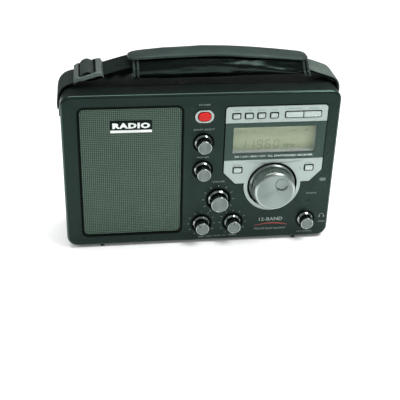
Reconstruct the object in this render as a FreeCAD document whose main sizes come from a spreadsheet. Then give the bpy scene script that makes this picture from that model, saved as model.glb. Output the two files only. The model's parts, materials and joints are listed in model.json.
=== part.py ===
import FreeCAD, Part
import math
import os
import re

import PartDesign
import Sketcher

# Portable mains/battery shortwave receiver with a telescopic whip and a carrying strap.
#
# Millimetres.  +X is to the right of someone facing the front, +Y points from the front to
# the back, +Z is up.  The origin is on the table, under the middle of the whole receiver.
# The front face of the case is the plane y = -front_y.

Vector = FreeCAD.Vector

SIZES = {
    # case
    "case_width": 296,
    "case_height": 180,
    "case_bottom": 3,
    "case_corner": 12,
    "front_y": 29,
    "joint_y": 3,
    "back_y": 47,
    "wall": 2.5,
    "front_wall": 4,
    "back_wall": 3,
    "front_edge": 3,
    "back_edge": 4,
    "panel_corner": 3,
    "thread_gap": 0.05,
    "clear_gap": 0.1,
    # speaker
    "grille_x": -75.5,
    "grille_z": 92.75,
    "grille_width": 107,
    "grille_height": 151.5,
    "grille_corner": 5,
    "grille_gap": 0.6,
    "grille_recess": 2,
    "grille_sheet": 1.2,
    "badge_z": 147.75,
    "badge_width": 44,
    "badge_height": 13.5,
    "badge_thick": 1.2,
    "badge_corner": 1,
    "speaker_hole": 46,
    "speaker_flange": 50,
    "speaker_depth": 22,
    "speaker_back": 28,
    "magnet_radius": 34,
    "magnet_length": 15,
    "magnet_plate": 3,
    "basket_metal": 1.2,
    "basket_floor": 4,
    "basket_throat": 14,
    "flange_thick": 2,
    "cone_rim": 43,
    "cone_neck": 13.5,
    "cone_length": 17,
    "cone_start": 0.5,
    "cone_paper": 0.8,
    "dust_cap_y": 14,
    "dust_cap_radius": 13,
    # trim plates, display and sensor
    "trim": 1.2,
    "trim_left": 24.2,
    "trim_right": 133.6,
    "key_panel_low": 148.9,
    "key_panel_high": 167.3,
    "key_panel_corner": 3.6,
    "bezel_corner": 1,
    "bezel_low": 104.9,
    "bezel_high": 148.6,
    "tuning_panel_high": 104.6,
    "tuning_panel_low": 76,
    "tuning_panel_shoulder": 89.8,
    "tuning_panel_foot": 13,
    "tuning_ring": 31.9,
    "window_x": 78.3,
    "window_z": 128,
    "window_width": 90.6,
    "window_height": 31,
    "window_corner": 1.5,
    "window_hole_gap": 1.5,
    "lens_margin": 4.5,
    "lens_thick": 1.5,
    "display_face": 20.5,
    "display_rim": 1.2,
    "display_frame_side": 4,
    "display_frame_end": 3.5,
    "glass_side": 1.5,
    "sensor_x": 136.5,
    "sensor_z": 77,
    "sensor_width": 9,
    "sensor_height": 5,
    "sensor_proud": 0.2,
    # knobs and keys
    "knob_sink": 1.3,
    "recess_depth": 1.8,
    "shaft_radius": 3,
    "shaft_running": 0.05,
    "shaft_hole": 3.7,
    "shaft_end": 17.4,
    "knob_step": 2.5,
    "tuning_step": 3,
    "skirt_bevel": 0.9,
    "skirt_bevel_rise": 0.6,
    "face_bevel": 1,
    "knob_roof": 3,
    "dimple_radius": 14,
    "dimple_depth": 2,
    "dimple_x": 7,
    "dimple_z": 9,
    "key_gap": 1.05,
    "key_proud": 1.4,
    "key_flange": 1.8,
    "key_flange_thick": 1,
    "key_flange_gap": 0.5,
    "key_hole_gap": 0.8,
    "key_stem": 3,
    "key_stem_length": 4,
    "key_edge": 0.5,
    "key_corner": 0.8,
    "power_key_corner": 4.2,
    "power_key_proud": 1.2,
    "bezel_power_width": 19.9,
    "bezel_power_height": 14.3,
    "bezel_power_proud": 2,
    "bezel_power_corner": 6.8,
    "bezel_power_gap": 0.7,
    # boards
    "board": 1.6,
    "control_board_y": 15,
    "control_board_left": -7,
    "control_board_right": 132,
    "control_board_low": 7,
    "control_board_high": 177,
    "main_board_y": 12,
    "main_board_left": 0,
    "main_board_right": 128,
    "main_board_low": 14,
    "main_board_high": 92,
    "jack_board_y": 29,
    "jack_board_margin": 1,
    "switch_size": 6,
    "switch_depth": 3,
    "plunger_radius": 1.6,
    "plunger_length": 0.5,
    "rotary_size": 13,
    "rotary_depth": 6,
    "bush_radius": 4.6,
    "bush_length": 3.5,
    "boss_radius": 4,
    "pilot_depth": 14,
    "front_pilot_depth": 8,
    "main_pilot_depth": 10,
    "board_hole_gap": 0.2,
    "case_screw_length": 24,
    "case_screw_head": 2.2,
    "board_screw_length": 8,
    "main_screw_length": 9,
    "board_head_height": 1.8,
    "plug_depth": 5,
    "plug_height": 6,
    "ribbon_width": 20,
    # ferrite aerial
    "ferrite_radius": 5,
    "ferrite_left": -115,
    "ferrite_length": 180,
    "former_radius": 7.2,
    "former_foot": 10,
    "screw_radius": 1.5,
    "screw_head": 2.9,
    "screw_x": 138.5,
    "screw_mid_x": -13.5,
    "screw_low_z": 14,
    "screw_high_z": 151,
    "screw_seat": 9,
    "post_radius": 4.5,
    "board_screw_radius": 1.3,
    "board_screw_head": 2.6,
    "standoff_radius": 3.2,
    # battery bay
    "bay_x": -72,
    "bay_z": 40,
    "bay_width": 78,
    "bay_height": 42,
    "bay_floor": 23,
    "cover_lip": 3,
    "cover_seat": 2.2,
    "cover_thick": 1.9,
    "cell_radius": 9.2,
    "cell_length": 65,
    "cell_y": 33.2,
    "cell_spacing": 19,
    "cover_corner": 3,
    "cover_gap": 0.35,
    "cover_lift": 0.15,
    "tongue_depth": 1.6,
    "tongue_width": 12,
    "tongue_height": 2,
    "tongue_inset": 1.5,
    "tongue_x": 20,
    "contact_size": 14,
    "contact_thick": 0.8,
    "contact_tip": 3.2,
    # sockets
    "jack_recess_left": 38,
    "jack_recess_right": 130,
    "jack_recess_low": 100,
    "jack_recess_high": 136,
    "jack_recess_depth": 9,
    "jack_z": 118,
    "bnc_radius": 4.8,
    "phono_radius": 4.15,
    "jack_nut": 6.6,
    "nut_thick": 1.2,
    "bnc_core": 3.6,
    "bnc_base": 13,
    "bnc_pin": 0.9,
    "bnc_pin_length": 6,
    "phono_core": 1.7,
    "phono_base": 12,
    "headphone_y": -20.4,
    "headphone_z": 26,
    "headphone_bore": 1.8,
    "headphone_nose": 3,
    "headphone_hole": 3.1,
    "headphone_box": 8,
    "headphone_length": 13,
    "headphone_depth": 14.2,
    "nose_sunk": 0.2,
    "power_jack_x": 104,
    "power_jack_z": 36,
    "power_hole": 3.6,
    "power_nose": 3.5,
    "power_nose_sunk": 0.4,
    "power_box": 10,
    "power_box_depth": 11,
    "power_bore": 2.75,
    "power_bore_depth": 10,
    "power_pin": 1,
    "power_pin_length": 8,
    # feet
    "foot_x": 109.5,
    "foot_front": -24.2,
    "foot_back": 35,
    "foot_radius": 2.4,
    # telescopic whip, folded along the back of the top
    "rebate_front": 35,
    "rebate_floor": 165,
    "whip_x": 125,
    "whip_y": 41,
    "whip_z": 172,
    "whip_radius": 3.5,
    "whip_step": 0.5,
    "whip_length": 225,
    "whip_running": 0.05,
    "whip_reach": 6,
    "whip_stagger": 4,
    "whip_tab": 3.4,
    "whip_tip_radius": 3.2,
    "whip_tip_length": 8,
    "spigot_radius": 2.4,
    "turret_radius": 5.2,
    "turret_disc": 2.3,
    "turret_gap": 0.3,
    "turret_ear": 1.8,
    "tab_thick": 3,
    "tilt_pin": 1.2,
    # carrying strap
    "strap_y": 12,
    "strap_width": 38,
    "strap_thick": 1.6,
    "strap_x": 149.2,
    "strap_pivot_z": 158,
    "strap_pivot_radius": 3,
    "strap_low": 166.5,
    "strap_bend_z": 173.8,
    "strap_bend": 14,
    "strap_left_slope": 15,
    "strap_right_slope": 24,
    "lug_low": 150,
    "lug_width": 24,
    "grip_left": -73,
    "grip_right": 117,
    "grip_depth": 46,
    "grip_low": 191,
    "grip_high": 219,
    "grip_round": 11,
    "buckle_x": -117.5,
    "buckle_length": 29,
    "buckle_width": 42,
    "buckle_thick": 4.6,
    "buckle_bar": 5,
    "buckle_side": 3,
    "buckle_slot": 4.5,
    "strap_thread": 2,
    "strap_shoulder": 2.3,
    "strap_head": 5.5,
    "strap_head_thick": 1.7,
    "crest_radius": 20,
    "grip_overlap": 1.5,
}

# x, z, recess radius, skirt radius, face radius, height in front of the case
KNOBS = {
    "band": (1.2, 126.5, 11.2, 9.5, 7.5, 13.4),
    "bandwidth": (1.2, 94, 11.2, 9.5, 7.5, 13.4),
    "volume": (19.7, 56.4, 13.6, 11.4, 9.5, 12.9),
    "bass": (1.5, 25.9, 11.5, 9.4, 7.4, 13),
    "treble": (37.1, 26.2, 11.5, 9.4, 7.4, 13),
    "fine": (120.9, 26.2, 10.6, 9, 7.1, 11.7),
    "tuning": (79.2, 72.6, 27.9, 25.7, 22.7, 18),
}
# x, z, width, height of the cap
KEYS = {
    "key_1": (35.4, 157, 7.2, 4.8),
    "key_2": (48.8, 157, 7.2, 4.8),
    "key_3": (62.1, 157, 7.2, 4.8),
    "key_4": (75.7, 157, 7.2, 4.8),
    "wide_key_left": (97.5, 157.4, 18.6, 6),
    "wide_key_right": (117, 157.4, 18.6, 6),
    "lower_key_left": (39.4, 92.8, 8.5, 5.5),
    "lower_key_right": (118.8, 93.2, 8.5, 5.5),
    "power_button": (1.3, 157.7, 12.9, 9.3),
}
for knob_name, knob_row in KNOBS.items():
    for word, number in zip(("x", "z", "recess", "skirt", "face", "proud"), knob_row):
        SIZES[knob_name + "_" + word] = number
for key_name, key_row in KEYS.items():
    for word, number in zip(("x", "z", "width", "height"), key_row):
        SIZES[key_name + "_" + word] = number

doc = FreeCAD.newDocument("receiver")
sheet = doc.addObject("Spreadsheet::Sheet", "dims")
for row_number, (size_name, size_value) in enumerate(SIZES.items(), 1):
    sheet.set("A%d" % row_number, str(size_value))
    sheet.setAlias("A%d" % row_number, size_name)
doc.recompute()

NODES = []
UPPER_SCREW_SPOTS = [
    ("-screw_x", "screw_low_z"),
    ("screw_x", "screw_low_z"),
    ("-screw_x", "screw_high_z"),
    ("screw_x", "screw_high_z"),
    ("screw_mid_x", "screw_low_z"),
    ("screw_mid_x", "screw_high_z"),
]
CONTROL_SCREW_SPOTS = [("-2", "11"), ("126", "11"), ("-2", "173"), ("126", "173")]
MAIN_SCREW_SPOTS = [("5", "19"), ("123", "19"), ("5", "87"), ("123", "87")]


# ---------------------------------------------------------------- helpers


def bind(text):
    """Make every size named in an expression read its cell of the sheet."""
    def cell(match):
        word = match.group()
        return "dims." + word if word in SIZES else word
    return re.sub(r"[a-z]\w*", cell, str(text))


def value(text):
    """The number that an expression of named sizes stands for now."""
    return float(sheet.evalExpression(bind(text)))


def node(shape_object, label):
    """Name a finished piece, which is then written to its own file."""
    shape_object.Label = label
    NODES.append(shape_object)
    return shape_object


def place(item, x, y, z, axis=None, angle=0):
    """Put an object's origin at x, y, z and turn it about an axis through that point."""
    turn = FreeCAD.Rotation(Vector(*axis), angle) if axis else FreeCAD.Rotation()
    item.Placement = FreeCAD.Placement(Vector(value(x), value(y), value(z)), turn)
    for letter, text in zip("xyz", (x, y, z)):
        item.setExpression("Placement.Base." + letter, bind(text))
    return item


def block(name, x, y, z, width, depth, height):
    """A box from its lowest corner."""
    item = doc.addObject("Part::Box", name)
    for side, text in zip(("Length", "Width", "Height"), (width, depth, height)):
        item.setExpression(side, bind(text))
    return place(item, x, y, z)


TURNS = {"x": ((0, 1, 0), 90), "y": ((1, 0, 0), -90), "z": (None, 0)}


def rod(name, direction, x, y, z, radius, length):
    """A round bar that starts at x, y, z and runs along +X, +Y or +Z."""
    item = doc.addObject("Part::Cylinder", name)
    item.setExpression("Radius", bind(radius))
    item.setExpression("Height", bind(length))
    return place(item, x, y, z, *TURNS[direction])


def cone(name, direction, x, y, z, start_radius, end_radius, length):
    """A round taper that starts at x, y, z and runs along +X, +Y or +Z."""
    item = doc.addObject("Part::Cone", name)
    item.setExpression("Radius1", bind(start_radius))
    item.setExpression("Radius2", bind(end_radius))
    item.setExpression("Height", bind(length))
    return place(item, x, y, z, *TURNS[direction])


def fuse(name, parts):
    item = doc.addObject("Part::MultiFuse", name)
    item.Shapes = parts
    return item


def cut(name, base, tools):
    item = doc.addObject("Part::Cut", name)
    item.Base = base
    item.Tool = tools[0] if len(tools) == 1 else fuse(name + "_tools", tools)
    return item


def group(name, parts):
    """Separate solids kept together in one node."""
    item = doc.addObject("Part::Compound", name)
    item.Links = parts
    return item


def origin_plane(body, role):
    return next(item for item in body.Origin.OriginFeatures if item.Role == role)


def measure(sketch, kind, geometry, point, text):
    """Hold one coordinate of a sketch point at an expression."""
    index = sketch.addConstraint(
        Sketcher.Constraint(kind, -1, 1, geometry, point, value(text)))
    sketch.setExpression("Constraints[%d]" % index, bind(text))


def draw_polygon(sketch, points):
    """A closed outline through points given as pairs of expressions."""
    corners = [Vector(value(across), value(up), 0) for across, up in points]
    first = sketch.GeometryCount
    count = len(corners)
    for index, corner in enumerate(corners):
        sketch.addGeometry(Part.LineSegment(corner, corners[(index + 1) % count]), False)
    for index, (across, up) in enumerate(points):
        following = first + (index + 1) % count
        sketch.addConstraint(Sketcher.Constraint("Coincident", first + index, 2, following, 1))
        measure(sketch, "DistanceX", first + index, 1, across)
        measure(sketch, "DistanceY", first + index, 1, up)


def draw_rectangle(sketch, across, up, width, height):
    left, right = "%s - (%s) / 2" % (across, width), "%s + (%s) / 2" % (across, width)
    low, high = "%s - (%s) / 2" % (up, height), "%s + (%s) / 2" % (up, height)
    draw_polygon(sketch, [(left, low), (right, low), (right, high), (left, high)])


def draw_circle(sketch, across, up, radius):
    middle = Vector(value(across), value(up), 0)
    index = sketch.addGeometry(
        Part.Circle(middle, Vector(0, 0, 1), value(radius)), False)
    measure(sketch, "DistanceX", index, 3, across)
    measure(sketch, "DistanceY", index, 3, up)
    fixed = sketch.addConstraint(Sketcher.Constraint("Radius", index, value(radius)))
    sketch.setExpression("Constraints[%d]" % fixed, bind(radius))


def draw_rounded(sketch, across, up, width, height, corner):
    """A rectangle about a middle point, with four equal round corners."""
    x, z, w, t, r = [value(text) for text in (across, up, width, height, corner)]
    x0, x1, z0, z1 = x - w / 2, x + w / 2, z - t / 2, z + t / 2
    quarter = math.pi / 2

    def arc(cx, cz, start):
        circle = Part.Circle(Vector(cx, cz, 0), Vector(0, 0, 1), r)
        return Part.ArcOfCircle(circle, start, start + quarter)

    first = sketch.GeometryCount
    sketch.addGeometry([
        Part.LineSegment(Vector(x0 + r, z0, 0), Vector(x1 - r, z0, 0)),
        arc(x1 - r, z0 + r, -quarter),
        Part.LineSegment(Vector(x1, z0 + r, 0), Vector(x1, z1 - r, 0)),
        arc(x1 - r, z1 - r, 0),
        Part.LineSegment(Vector(x1 - r, z1, 0), Vector(x0 + r, z1, 0)),
        arc(x0 + r, z1 - r, quarter),
        Part.LineSegment(Vector(x0, z1 - r, 0), Vector(x0, z0 + r, 0)),
        arc(x0 + r, z0 + r, 2 * quarter)], False)
    joins = []
    for index in range(0, 8, 2):
        joins.append(Sketcher.Constraint("Tangent", first + index, 2, first + index + 1, 1))
        joins.append(Sketcher.Constraint(
            "Tangent", first + index + 1, 2, first + (index + 2) % 8, 1))
    for index in (0, 4):
        joins.append(Sketcher.Constraint("Horizontal", first + index))
        joins.append(Sketcher.Constraint("Vertical", first + index + 2))
    for index in (3, 5, 7):
        joins.append(Sketcher.Constraint("Equal", first + 1, first + index))
    sketch.addConstraint(joins)
    fixed = sketch.addConstraint(Sketcher.Constraint("Radius", first + 1, r))
    sketch.setExpression("Constraints[%d]" % fixed, bind(corner))
    measure(sketch, "DistanceX", first + 6, 1, "%s - (%s) / 2" % (across, width))
    measure(sketch, "DistanceX", first + 2, 1, "%s + (%s) / 2" % (across, width))
    measure(sketch, "DistanceY", first, 1, "%s - (%s) / 2" % (up, height))
    measure(sketch, "DistanceY", first + 4, 1, "%s + (%s) / 2" % (up, height))


DRAW = {
    "polygon": draw_polygon,
    "rectangle": draw_rectangle,
    "circle": draw_circle,
    "rounded": draw_rounded,
}


def new_body(name):
    return doc.addObject("PartDesign::Body", name)


def new_sketch(body, name, role, offset, outlines):
    """A sketch on one of the body's own planes, moved along the plane's normal."""
    sketch = body.newObject("Sketcher::SketchObject", name)
    sketch.AttachmentSupport = (origin_plane(body, role), [""])
    sketch.MapMode = "FlatFace"
    sketch.setExpression("AttachmentOffset.Base.z", bind(offset))
    for kind, *rest in outlines:
        DRAW[kind](sketch, *rest)
    return sketch


def extrude(kind, body, name, y, depth, outlines, forward):
    """Pad or pocket outlines drawn across the plane at y, to the back or to the front.

    The plane that holds X and Z has its normal along -Y, so y is negated, a pad runs to the
    front unless it is reversed, and a pocket runs to the back unless it is reversed.
    """
    sketch = new_sketch(body, name + "_sketch", "XZ_Plane", "-(%s)" % y, outlines)
    feature = body.newObject("PartDesign::" + kind, name)
    feature.Profile = sketch
    feature.setExpression("Length", bind(depth))
    feature.Reversed = forward if kind == "Pocket" else not forward
    return feature


def pad(body, name, y, depth, outlines, forward=False):
    return extrude("Pad", body, name, y, depth, outlines, forward)


def pocket(body, name, y, depth, outlines, forward=False):
    return extrude("Pocket", body, name, y, depth, outlines, forward)


def round_edges(body, name, radius, wanted):
    """Fillet the edges of the body's last feature that pass a test."""
    doc.recompute()
    base = body.Tip
    picked = ["Edge%d" % number for number, edge in enumerate(base.Shape.Edges, 1)
              if wanted(edge.BoundBox)]
    feature = body.newObject("PartDesign::Fillet", name)
    feature.Base = (base, picked)
    feature.setExpression("Radius", bind(radius))
    return feature


def flat_at(y):
    """A test for edges that lie wholly in the plane at y."""
    level = value(y)
    return lambda box: abs(box.YMin - level) < 1e-4 and abs(box.YMax - level) < 1e-4


# ---------------------------------------------------------------- case

CASE_MIDDLE = "case_bottom + case_height / 2"
OUTER = [("rounded", "0", CASE_MIDDLE, "case_width", "case_height", "case_corner")]
INNER = [("rounded", "0", CASE_MIDDLE, "case_width - 2 * wall", "case_height - 2 * wall",
          "case_corner - wall")]
FRONT = "-front_y"
FRONT_INSIDE = "-front_y + front_wall"
JOINT = "-joint_y"
BACK_INSIDE = "back_y - back_wall"
TOP_ROW = ["key_1", "key_2", "key_3", "key_4"]
LOWER_ROW = ["lower_key_left", "lower_key_right"]
BNC_X = ["54", "76"]
PHONO_X = ["98", "114"]
SENSOR_ROUND = "sensor_height / 2 - 0.1"


def key_opening(name, extra):
    """The clear rectangle round one key cap."""
    width = "%s_width + 2 * (%s)" % (name, extra)
    height = "%s_height + 2 * (%s)" % (name, extra)
    return ("rectangle", name + "_x", name + "_z", width, height)


def wide_opening(extra):
    """The one opening that both wide keys share."""
    middle = "(wide_key_left_x + wide_key_right_x) / 2"
    width = "wide_key_right_x - wide_key_left_x + wide_key_left_width + 2 * (%s)" % extra
    height = "wide_key_left_height + 2 * (%s)" % extra
    return ("rectangle", middle, "wide_key_left_z", width, height)


def circles(spots, radius):
    return [("circle", x, z, radius) for x, z in spots]


def make_front_case():
    """Front half: face, speaker baffle, recesses for the knobs, holes for the controls."""
    body = new_body("front_case_body")
    depth = "front_y - joint_y"
    pad(body, "front_outside", FRONT, depth, OUTER)
    round_edges(body, "front_fillet", "front_edge", flat_at(FRONT))
    pocket(body, "front_inside", JOINT, depth + " - front_wall", INNER, forward=True)
    pocket(body, "grille_seat", FRONT, "grille_recess", [
        ("rounded", "grille_x", "grille_z", "grille_width + 2 * grille_gap",
         "grille_height + 2 * grille_gap", "grille_corner + grille_gap")])
    pocket(body, "baffle_hole", FRONT, "front_wall",
           [("circle", "grille_x", "grille_z", "speaker_hole")])
    pocket(body, "knob_recesses", FRONT, "recess_depth",
           [("circle", name + "_x", name + "_z", name + "_recess") for name in KNOBS])
    pocket(body, "shaft_holes", FRONT, "front_wall",
           [("circle", name + "_x", name + "_z", "shaft_hole") for name in KNOBS])
    pocket(body, "lens_seat", FRONT, "lens_thick", [
        ("rectangle", "window_x", "window_z", "window_width + 2 * lens_margin",
         "window_height + 2 * lens_margin")])
    pocket(body, "display_hole", FRONT, "front_wall", [
        ("rectangle", "window_x", "window_z", "window_width + 2 * window_hole_gap",
         "window_height + 2 * window_hole_gap")])
    pocket(body, "key_holes", FRONT, "front_wall",
           [key_opening(name, "key_hole_gap")
            for name in TOP_ROW + LOWER_ROW + ["power_button"]]
           + [wide_opening("key_hole_gap")])
    pocket(body, "sensor_hole", FRONT, "front_wall", [
        ("rounded", "sensor_x", "sensor_z", "sensor_width", "sensor_height", SENSOR_ROUND)])
    pad(body, "case_bosses", JOINT, depth + " - front_wall",
        circles(UPPER_SCREW_SPOTS, "boss_radius"), forward=True)
    pocket(body, "case_pilots", JOINT, "pilot_depth",
           circles(UPPER_SCREW_SPOTS, "screw_radius + thread_gap"), forward=True)
    pad(body, "board_bosses", "-control_board_y", "front_y - front_wall - control_board_y",
        circles(CONTROL_SCREW_SPOTS, "standoff_radius"), forward=True)
    pocket(body, "board_pilots", "-control_board_y", "front_pilot_depth",
           circles(CONTROL_SCREW_SPOTS, "board_screw_radius + thread_gap"), forward=True)
    hole = rod("headphone_hole", "x", "case_width / 2 - wall - 1", "headphone_y", "headphone_z",
               "headphone_hole", "wall + 2")
    node(cut("front_case", body, [hole]), "front_case")


def make_rear_case():
    """Rear half: battery bay, sunken socket panel, screw posts, rebate for the whip."""
    body = new_body("rear_case_body")
    depth = "back_y + joint_y"
    pad(body, "rear_outside", JOINT, depth, OUTER)
    round_edges(body, "rear_fillet", "back_edge", flat_at("back_y"))
    low_inside = "rebate_floor - back_wall"
    half_width = "case_width / 2 - wall"
    pocket(body, "rear_upper_inside", JOINT, "rebate_front - back_wall + joint_y", INNER)
    pocket(body, "rear_lower_inside", JOINT, depth + " - back_wall", [
        ("rounded", "0", "(case_bottom + wall + %s) / 2" % low_inside, "2 * (%s)" % half_width,
         "%s - case_bottom - wall" % low_inside, "case_corner - wall")])
    pad(body, "bay_block", BACK_INSIDE, "back_y - back_wall - bay_floor + wall", [
        ("rectangle", "bay_x", "bay_z", "bay_width + 2 * wall", "bay_height + 2 * wall")],
        forward=True)
    pocket(body, "bay_cavity", "back_y", "back_y - bay_floor",
           [("rectangle", "bay_x", "bay_z", "bay_width", "bay_height")], forward=True)
    pocket(body, "cover_recess", "back_y", "cover_seat", [
        ("rounded", "bay_x", "bay_z", "bay_width + 2 * cover_lip",
         "bay_height + 2 * cover_lip", "cover_corner")], forward=True)
    panel_x = "(jack_recess_left + jack_recess_right) / 2"
    panel_z = "(jack_recess_low + jack_recess_high) / 2"
    panel_width = "jack_recess_right - jack_recess_left"
    panel_height = "jack_recess_high - jack_recess_low"
    pad(body, "jack_block", BACK_INSIDE, "jack_recess_depth - back_wall + wall", [
        ("rectangle", panel_x, panel_z, panel_width + " + 2 * wall",
         panel_height + " + 2 * wall")], forward=True)
    pocket(body, "jack_recess", "back_y", "jack_recess_depth", [
        ("rounded", panel_x, panel_z, panel_width, panel_height, "panel_corner")],
        forward=True)
    pad(body, "posts", BACK_INSIDE, "back_y - back_wall + joint_y",
        circles(UPPER_SCREW_SPOTS, "post_radius"), forward=True)
    pad(body, "standoffs", BACK_INSIDE, "back_y - back_wall - main_board_y - board",
        circles(MAIN_SCREW_SPOTS, "standoff_radius"), forward=True)
    pocket(body, "post_bores", "back_y", "back_y + joint_y",
           circles(UPPER_SCREW_SPOTS, "screw_radius + clear_gap"), forward=True)
    pocket(body, "post_wells", "back_y", "back_y - screw_seat",
           circles(UPPER_SCREW_SPOTS, "screw_head + 3 * clear_gap"), forward=True)
    pocket(body, "standoff_pilots", "main_board_y + board", "main_pilot_depth",
           circles(MAIN_SCREW_SPOTS, "board_screw_radius + thread_gap"))
    holes = [("circle", x, "jack_z", "bnc_radius") for x in BNC_X]
    holes += [("circle", x, "jack_z", "phono_radius") for x in PHONO_X]
    pocket(body, "jack_holes", "back_y", "back_y - back_wall", holes, forward=True)
    pocket(body, "power_hole", "back_y", "back_wall + 1",
           [("circle", "power_jack_x", "power_jack_z", "power_hole")], forward=True)
    rebate = block("whip_rebate", "-case_width", "rebate_front", "rebate_floor",
                   "2 * case_width", "back_y", "case_height")
    socket = rod("swivel_hole", "z", "whip_x", "whip_y", "rebate_floor - 2 * back_wall",
                 "spigot_radius + whip_running", "3 * back_wall")
    sides = [rod("strap_hole_" + side, "x", x, "strap_y", "strap_pivot_z",
                 "strap_thread + clear_gap", "wall + 2")
             for side, x in (("left", "-case_width / 2 - 1"),
                             ("right", "case_width / 2 - wall - 1"))]
    node(cut("rear_case", body, [rebate, socket] + sides), "rear_case")


# ---------------------------------------------------------------- speaker


def make_speaker():
    """Perforated sheet, its badge, and the loudspeaker behind the baffle."""
    sheet_y = "-front_y + grille_recess - grille_sheet"
    grille = new_body("grille_body")
    pad(grille, "grille_sheet", sheet_y, "grille_sheet", [
        ("rounded", "grille_x", "grille_z", "grille_width", "grille_height",
         "grille_corner")])
    node(grille, "speaker_grille")
    badge = new_body("badge_body")
    pad(badge, "badge_plate", sheet_y, "badge_thick", [
        ("rounded", "grille_x", "badge_z", "badge_width", "badge_height", "badge_corner")],
        forward=True)
    node(badge, "grille_badge")

    def at(name, depth, start, end, length):
        return cone(name, "y", "grille_x", "-front_y + front_wall + " + depth, "grille_z",
                    start, end, length)

    basket = fuse("basket_solid", [
        rod("basket_flange", "y", "grille_x", FRONT_INSIDE, "grille_z", "speaker_flange",
            "flange_thick"),
        at("basket_cone", "flange_thick", "speaker_hole", "speaker_back",
           "speaker_depth - flange_thick")])
    hollow = [at("basket_hollow", "-0.01", "speaker_hole - basket_metal",
                 "speaker_back - basket_floor", "speaker_depth - flange_thick"),
              rod("basket_throat_bore", "y", "grille_x", FRONT_INSIDE, "grille_z",
                  "basket_throat", "speaker_depth + 2")]
    node(cut("speaker_frame", basket, hollow), "speaker_frame")
    cone_shell = cut(
        "cone_shell", at("cone_outside", "cone_start", "cone_rim", "cone_neck", "cone_length"),
        [at("cone_inside", "cone_start - cone_paper", "cone_rim", "cone_neck", "cone_length")])
    dust_cap = rod("dust_cap", "y", "grille_x", FRONT_INSIDE + " + dust_cap_y", "grille_z",
                   "dust_cap_radius", "cone_paper")
    node(group("speaker_cone", [cone_shell, dust_cap]), "speaker_cone")
    magnet = fuse("magnet_solid", [
        rod("magnet_ring", "y", "grille_x", FRONT_INSIDE + " + speaker_depth",
            "grille_z", "magnet_radius", "magnet_length"),
        rod("magnet_back", "y", "grille_x", FRONT_INSIDE + " + speaker_depth + magnet_length",
            "grille_z", "magnet_radius - magnet_plate", "magnet_plate")])
    node(magnet, "speaker_magnet")


# ---------------------------------------------------------------- front trim


def make_trim():
    """Key panel, tuning panel with its ring, display bezel and lens, power bezel, sensor."""
    width = "trim_right - trim_left"
    middle = "(trim_left + trim_right) / 2"

    panel = new_body("key_panel_body")
    pad(panel, "key_panel_plate", FRONT, "trim", [
        ("rounded", middle, "(key_panel_low + key_panel_high) / 2", width,
         "key_panel_high - key_panel_low", "key_panel_corner")], forward=True)
    pad(panel, "key_panel_foot", FRONT, "trim", [
        ("rectangle", middle, "key_panel_low + key_panel_corner", width,
         "2 * key_panel_corner")], forward=True)
    pocket(panel, "key_panel_openings", "-front_y - trim", "trim",
           [key_opening(name, "key_gap") for name in TOP_ROW]
           + [wide_opening("key_hole_gap")])
    node(panel, "key_panel")

    panel = new_body("tuning_panel_body")
    pad(panel, "tuning_plate", FRONT, "trim", [("polygon", [
        ("trim_left", "tuning_panel_high"),
        ("trim_left", "tuning_panel_shoulder"),
        ("trim_left + tuning_panel_foot", "tuning_panel_low"),
        ("trim_right - tuning_panel_foot", "tuning_panel_low"),
        ("trim_right", "tuning_panel_shoulder"),
        ("trim_right", "tuning_panel_high")])], forward=True)
    pad(panel, "tuning_ring_pad", FRONT, "trim",
        [("circle", "tuning_x", "tuning_z", "tuning_ring")], forward=True)
    pocket(panel, "tuning_panel_openings", "-front_y - trim", "trim",
           [key_opening(name, "key_gap") for name in LOWER_ROW]
           + [("circle", "tuning_x", "tuning_z", "tuning_recess")])
    node(panel, "tuning_panel")

    bezel = new_body("display_bezel_body")
    pad(bezel, "bezel_plate", FRONT, "trim", [
        ("rounded", middle, "(bezel_low + bezel_high) / 2", width, "bezel_high - bezel_low",
         "bezel_corner")], forward=True)
    pocket(bezel, "bezel_window", "-front_y - trim", "trim", [
        ("rounded", "window_x", "window_z", "window_width", "window_height",
         "window_corner")])
    node(bezel, "display_bezel")

    lens = block("display_lens", "window_x - window_width / 2 - lens_margin", FRONT,
                 "window_z - window_height / 2 - lens_margin",
                 "window_width + 2 * lens_margin", "lens_thick",
                 "window_height + 2 * lens_margin")
    node(lens, "display_lens")

    ring = new_body("power_bezel_body")
    pad(ring, "power_bezel_plate", FRONT, "bezel_power_proud", [
        ("rounded", "power_button_x", "power_button_z", "bezel_power_width",
         "bezel_power_height", "bezel_power_corner")], forward=True)
    pocket(ring, "power_bezel_opening", "-front_y - bezel_power_proud", "bezel_power_proud", [
        ("rounded", "power_button_x", "power_button_z",
         "power_button_width + 2 * bezel_power_gap",
         "power_button_height + 2 * bezel_power_gap", "power_key_corner + bezel_power_gap")])
    node(ring, "power_bezel")

    sensor = new_body("sensor_body")
    pad(sensor, "sensor_plate", "-front_y - sensor_proud", "front_wall + sensor_proud", [
        ("rounded", "sensor_x", "sensor_z", "sensor_width", "sensor_height", SENSOR_ROUND)])
    node(sensor, "sensor_window")


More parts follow.
